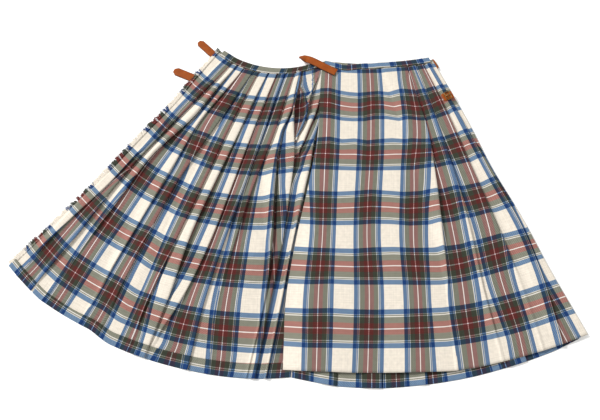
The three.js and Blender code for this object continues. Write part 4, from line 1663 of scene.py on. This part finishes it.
# ---------------------------------------------------------------- leather and buckles
@dataclass
class Strap:
    """A leather strap: its middle line from the sewn end to the tip, and how it turns over."""

    name: str
    line: tuple[tuple[float, float], ...]
    half: float                  # half of its width
    low: tuple[float, ...]       # height of its middle layer at each point of the line
    twist: float = 0.0           # degrees that it turns over by its tip
    twist_from: float = 0.5      # share of its length where that starts
    tip: float = 0.75            # length of the cut-off corners, against the half width
    tip_taper: float = 0.55      # how much of its width they take
    crown: float = 0.35          # how far its middle stands above its edges
    crowding: float = 1.6        # how much closer its rows lie towards the tip
    rows: int = 46
    columns: int = 13

    def build(self, leather: bpy.types.Material) -> bpy.types.Object:
        """Make the strap.

        Args:
            leather: its finish.

        Returns:
            The piece.
        """
        lengths = [0.0]
        for a, b in zip(self.line, self.line[1:]):
            lengths.append(lengths[-1] + math.dist(a, b))
        total = lengths[-1]
        stops = tuple(lengths)

        def spot(s: float) -> Vector:
            """Middle of the strap at a length."""
            x, y = (along(tuple(p[c] for p in self.line), s, stops) for c in (0, 1))
            return Vector((x - CENTRE[0], y - CENTRE[1], along(self.low, s, stops)))

        places, widths = [], []
        tip_from = total - self.half * self.tip
        for k in range(self.rows):
            s = total * (1 - (1 - k / (self.rows - 1)) ** self.crowding)
            ahead = (spot(s + 0.5) - spot(s - 0.5)).normalized()
            across = ahead.cross(Vector((0, 0, 1))).normalized()
            turned = float(ease((s / total - self.twist_from) / (1 - self.twist_from)))
            turn = math.radians(self.twist * turned)
            across = Matrix.Rotation(turn, 3, ahead) @ across
            rise = abs(math.sin(turn)) * self.half
            wide = self.half * (1 - self.tip_taper * max(0.0, s - tip_from) / (self.half * self.tip))
            row, width = [], []
            for side in np.linspace(-1, 1, self.columns):
                centre = spot(s) + Vector((0, 0, rise + self.crown * (1 - side * side)))
                row.append(tuple(centre + across * (wide * side)))
                width.append((abs(side), s / total))
            places.append(row)
            widths.append(width)
        bm = bmesh.new()
        grid_cloth(bm, np.array(places), np.array(widths) / MM, WIDTH_MAP)
        bmesh.ops.recalc_face_normals(bm, faces=bm.faces)
        obj = linked(f"{self.name}_leather", bm)
        thicken(obj, STRAP_THICK - 0.3)
        bevel = obj.modifiers.new("edges", "BEVEL")
        bevel.width = 0.5 * MM
        bevel.segments = 2
        bevel.limit_method = "ANGLE"
        return dress(obj, leather, "leather", self.name)


# Straps by their middle lines, half widths and heights along them.
STRAPS = (
    Strap("waist_strap", ((-166, 702), (-216, 752)), 8.6, (1.25, 1.25)),
    Strap("hip_strap", ((-214, 653), (-267, 677)), 9.6, (1.25, 1.25)),
    Strap("under_strap", ((91, 666.5), (65, 681), (38.5, 696.5), (24, 702), (10.5, 704)), 8.6,
          (9.8, 9.8, 9.8, 9.0, 7.5), twist=34, twist_from=0.8, tip=1.1),
)


@dataclass
class BuckleTab:
    """A leather tab folded round a buckle's bar, with its wire frame: one at the hip, one at the waist."""

    leather: bpy.types.Material
    steel: bpy.types.Material
    hip_shift: tuple[float, float, float] = (-2.5, -7.5, 0.0)     # from the middle of its CAD nodes
    hip_tab: tuple[float, float, float] = (24.0, 19.0, STRAP_THICK)
    hip_wire: tuple[float, float, float] = (13.0, 21.0, 1.8)      # width, height and thickness of the wire
    hip_groove: tuple[float, float] = (2.0, 0.5)                  # half width and depth, down its middle
    hip_narrowing: float = 0.12                                   # share of its height lost by its ends
    waist_shift: tuple[float, float, float] = (-4.0, -6.0, 0.0)
    waist_tab: tuple[float, float, float] = (STRAP_THICK, 26.0, 7.0)
    waist_wire: tuple[float, float, float] = (5.0, 20.0, 1.4)

    @staticmethod
    def turned_to_cloth(node: str) -> tuple[Vector, float]:
        """Middle of a node's box and the angle of the cloth there.

        Args:
            node: the CAD node.

        Returns:
            The middle in metres, and the angle in radians.
        """
        low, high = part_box(node)
        middle = (low + high) / 2
        x, y = middle.x / MM + CENTRE[0], middle.y / MM + CENTRE[1]
        return middle, math.atan2(x - APRON.pivot[0], APRON.pivot[1] - y)

    def fasten(self, bm: bmesh.types.BMesh, name: str, slot: str, node: str,
               shift: tuple[float, float, float]) -> bpy.types.Object:
        """Place a small part on its node and give it its finish.

        Args:
            bm: the part's mesh, round the origin and in millimetres.
            name: the piece's name.
            slot: name of a material slot, which picks the leather or the steel finish.
            node: CAD node that it stands for.
            shift: millimetres from the middle of that node.

        Returns:
            The piece.
        """
        middle, angle = self.turned_to_cloth(node)
        place = Matrix.Translation(middle + Vector(shift) * MM)
        turned = place @ Matrix.Rotation(angle, 4, "Z") @ Matrix.Scale(MM, 4)
        bmesh.ops.transform(bm, matrix=turned, verts=bm.verts)
        bmesh.ops.recalc_face_normals(bm, faces=bm.faces)
        return dress(linked(name, bm), self.leather if slot == "leather" else self.steel, slot, node)

    @staticmethod
    def slab(wide: float, tall: float, thick: float) -> bmesh.types.BMesh:
        """A rounded slab of leather.

        Args:
            wide: size across.
            tall: size down.
            thick: size up.

        Returns:
            The slab's mesh, round the origin.
        """
        bm = bmesh.new()
        bmesh.ops.create_cube(bm, size=1.0)
        bmesh.ops.scale(bm, vec=(wide, tall, thick), verts=bm.verts)
        bmesh.ops.bevel(
            bm, geom=list(bm.edges), offset=min(wide, tall, thick) * 0.35, segments=3, profile=0.5,
            affect="EDGES", material=-1)
        long_edges = [e for e in bm.edges if e.calc_length() > 4]
        bmesh.ops.subdivide_edges(bm, edges=long_edges, cuts=5, use_grid_fill=True)
        return bm

    @staticmethod
    def wire_frame(wide: float, tall: float, wire: float) -> bmesh.types.BMesh:
        """A rounded wire rectangle with a middle bar and a prong.

        Args:
            wide: size across, outside.
            tall: size down, outside.
            wire: thickness of the wire.

        Returns:
            The frame's mesh, round the origin.
        """
        bm = bmesh.new()
        corner = 3.0
        reach_x, reach_y = (wide - wire) / 2 - corner, (tall - wire) / 2 - corner
        path = []
        for cx, cy, start in ((1, 1, 0), (-1, 1, 90), (-1, -1, 180), (1, -1, 270)):
            for k in range(5):
                turn = math.radians(start + 22.5 * k)
                x = cx * reach_x + corner * math.cos(turn)
                y = cy * reach_y + corner * math.sin(turn)
                path.append(Vector((x, y, 0)))
        ring = []
        for k, point in enumerate(path):
            ahead = (path[(k + 1) % len(path)] - path[k - 1]).normalized()
            made = bmesh.ops.create_circle(bm, cap_ends=False, radius=wire / 2, segments=8)["verts"]
            spin = ahead.to_track_quat("Z", "Y").to_matrix().to_4x4()
            bmesh.ops.transform(bm, matrix=Matrix.Translation(point) @ spin, verts=made)
            ring.append(made)
        edges = [list({e for v in loop for e in v.link_edges}) for loop in ring]
        for k, loop in enumerate(edges):
            bmesh.ops.bridge_loops(bm, edges=loop + edges[(k + 1) % len(edges)])
        # The bar through the middle, and the prong that lies across it.
        for x, y, z, length, turn in ((0, 0, 0, tall - wire, 0), (0.8, 0.5, wire / 2, wide, 90)):
            upright = Matrix.Rotation(math.radians(-90), 4, "X")
            lying = Matrix.Rotation(math.radians(turn), 4, "Z") @ upright
            bmesh.ops.create_cone(
                bm, segments=8, radius1=wire / 2, radius2=wire / 2.6, depth=length, cap_ends=True,
                matrix=Matrix.Translation((x, y, z)) @ lying)
        return bm

    def hip(self) -> list[bpy.types.Object]:
        """The tab and buckle lying on the cloth at hip height.

        Returns:
            Both pieces.
        """
        slab = self.slab(*self.hip_tab)
        for vert in slab.verts:
            fold = math.exp(-(vert.co.x / self.hip_groove[0]) ** 2)
            vert.co.z -= self.hip_groove[1] * fold if vert.co.z > 0 else 0
            vert.co.y *= 1 - self.hip_narrowing * (2 * abs(vert.co.x) / self.hip_tab[0]) ** 3
        wire = self.wire_frame(*self.hip_wire)
        shift = self.hip_shift
        return [self.fasten(slab, "hip_buckle_tab_leather", "leather", "hip_buckle_tab", shift),
                self.fasten(wire, "hip_buckle_wire", "steel", "hip_buckle", shift)]

    def waist(self) -> list[bpy.types.Object]:
        """The tab and buckle standing at the side fold.

        Returns:
            Both pieces.
        """
        slab = self.slab(*self.waist_tab)
        wire = self.wire_frame(*self.waist_wire)
        on_edge = Matrix.Rotation(math.radians(90), 3, "Y")
        bmesh.ops.rotate(wire, verts=wire.verts, matrix=on_edge)
        shift = self.waist_shift
        return [self.fasten(slab, "waist_buckle_tab_leather", "leather", "waist_buckle_tab", shift),
                self.fasten(wire, "waist_buckle_wire", "steel", "waist_buckle", shift)]


# ---------------------------------------------------------------- studio
@dataclass
class Studio:
    """A plain pale floor, soft light from the upper left, and the camera."""

    floor_size: float = 12.0
    camera_place: tuple[float, float, float] = (0.01409, -0.44566, 1.1444)
    camera_tilt: float = 20.0
    lens: float = 36.0
    sensor: float = 36.0
    sky: float = 0.86
    key: float = 1260.0          # watts
    key_place: tuple[float, float, float] = (-7.6, 4.1, 7.2)
    key_size: float = 2.0

    def build(self) -> None:
        """Make the floor, lights, sky and camera."""
        bm = bmesh.new()
        bmesh.ops.create_grid(bm, x_segments=1, y_segments=1, size=self.floor_size / 2)
        floor = linked("floor", bm)
        floor.data.materials.append(PaperSweep().build())

        camera = bpy.data.objects.new("camera", bpy.data.cameras.new("camera"))
        camera.data.sensor_width = self.sensor
        camera.data.lens = self.lens
        camera.location = self.camera_place
        camera.rotation_euler = (math.radians(self.camera_tilt), 0, 0)
        bpy.context.scene.collection.objects.link(camera)
        bpy.context.scene.camera = camera

        self.light("key", self.key_place, self.key_size, self.key)
        world = bpy.data.worlds.new("studio")
        world.use_nodes = True
        background = world.node_tree.nodes["Background"]
        background.inputs[0].default_value = (1.0, 1.0, 1.0, 1.0)
        background.inputs[1].default_value = self.sky
        bpy.context.scene.world = world
        bpy.context.scene.view_settings.view_transform = "Standard"

    @staticmethod
    def light(name: str, place: tuple[float, float, float], size: float, power: float) -> None:
        """A square soft light that points at the skirt.

        Args:
            name: its name.
            place: where it hangs, metres.
            size: its side, metres.
            power: watts.
        """
        data = bpy.data.lights.new(name, "AREA")
        data.shape = "SQUARE"
        data.size = size
        data.energy = power
        lamp = bpy.data.objects.new(name, data)
        lamp.location = place
        lamp.rotation_euler = (-Vector(place)).to_track_quat("-Z", "Y").to_euler()
        bpy.context.scene.collection.objects.link(lamp)


def report(group: str, *pieces: bpy.types.Object) -> None:
    """Name each finished piece of a group in the log."""
    for piece in pieces:
        LOG.info("%s: %s", group, piece.name)


def main() -> None:
    """Build and dress the skirt, piece by piece."""
    logging.basicConfig(level=logging.INFO, format="%(message)s")
    check = CheckTwill().build()
    leather = BridleLeather().build()
    steel = BrassedSteel().build()
    Studio().build()

    opened = OpenedSide(check)
    over, back = opened.panels()
    over_hem = opened.turn_up("over_apron_turn_up", range(PANEL_SPLIT))
    back_hem = opened.turn_up("pleated_back_turn_up", range(PANEL_SPLIT, len(BACK_PLEATS) + 1))
    low_hem = opened.turn_up("hidden_back_turn_up", range(len(HIDDEN_PLEATS) + 1), hidden=True)
    fringe = SelfFringe(LooseYarn().build()).build()
    report("opened side", over, back, over_hem, back_hem, low_hem, fringe)
    apron = FoldedApron(check).build()
    report("folded side", apron)
    bands = Waistbands(check)
    inner, outer = bands.inner(), bands.outer()
    report("waistbands", inner, outer)

    report("straps", *[strap.build(leather) for strap in STRAPS])
    tabs = BuckleTab(leather, steel)
    report("buckles", *tabs.hip(), *tabs.waist())


if __name__ == "__main__":
    main()
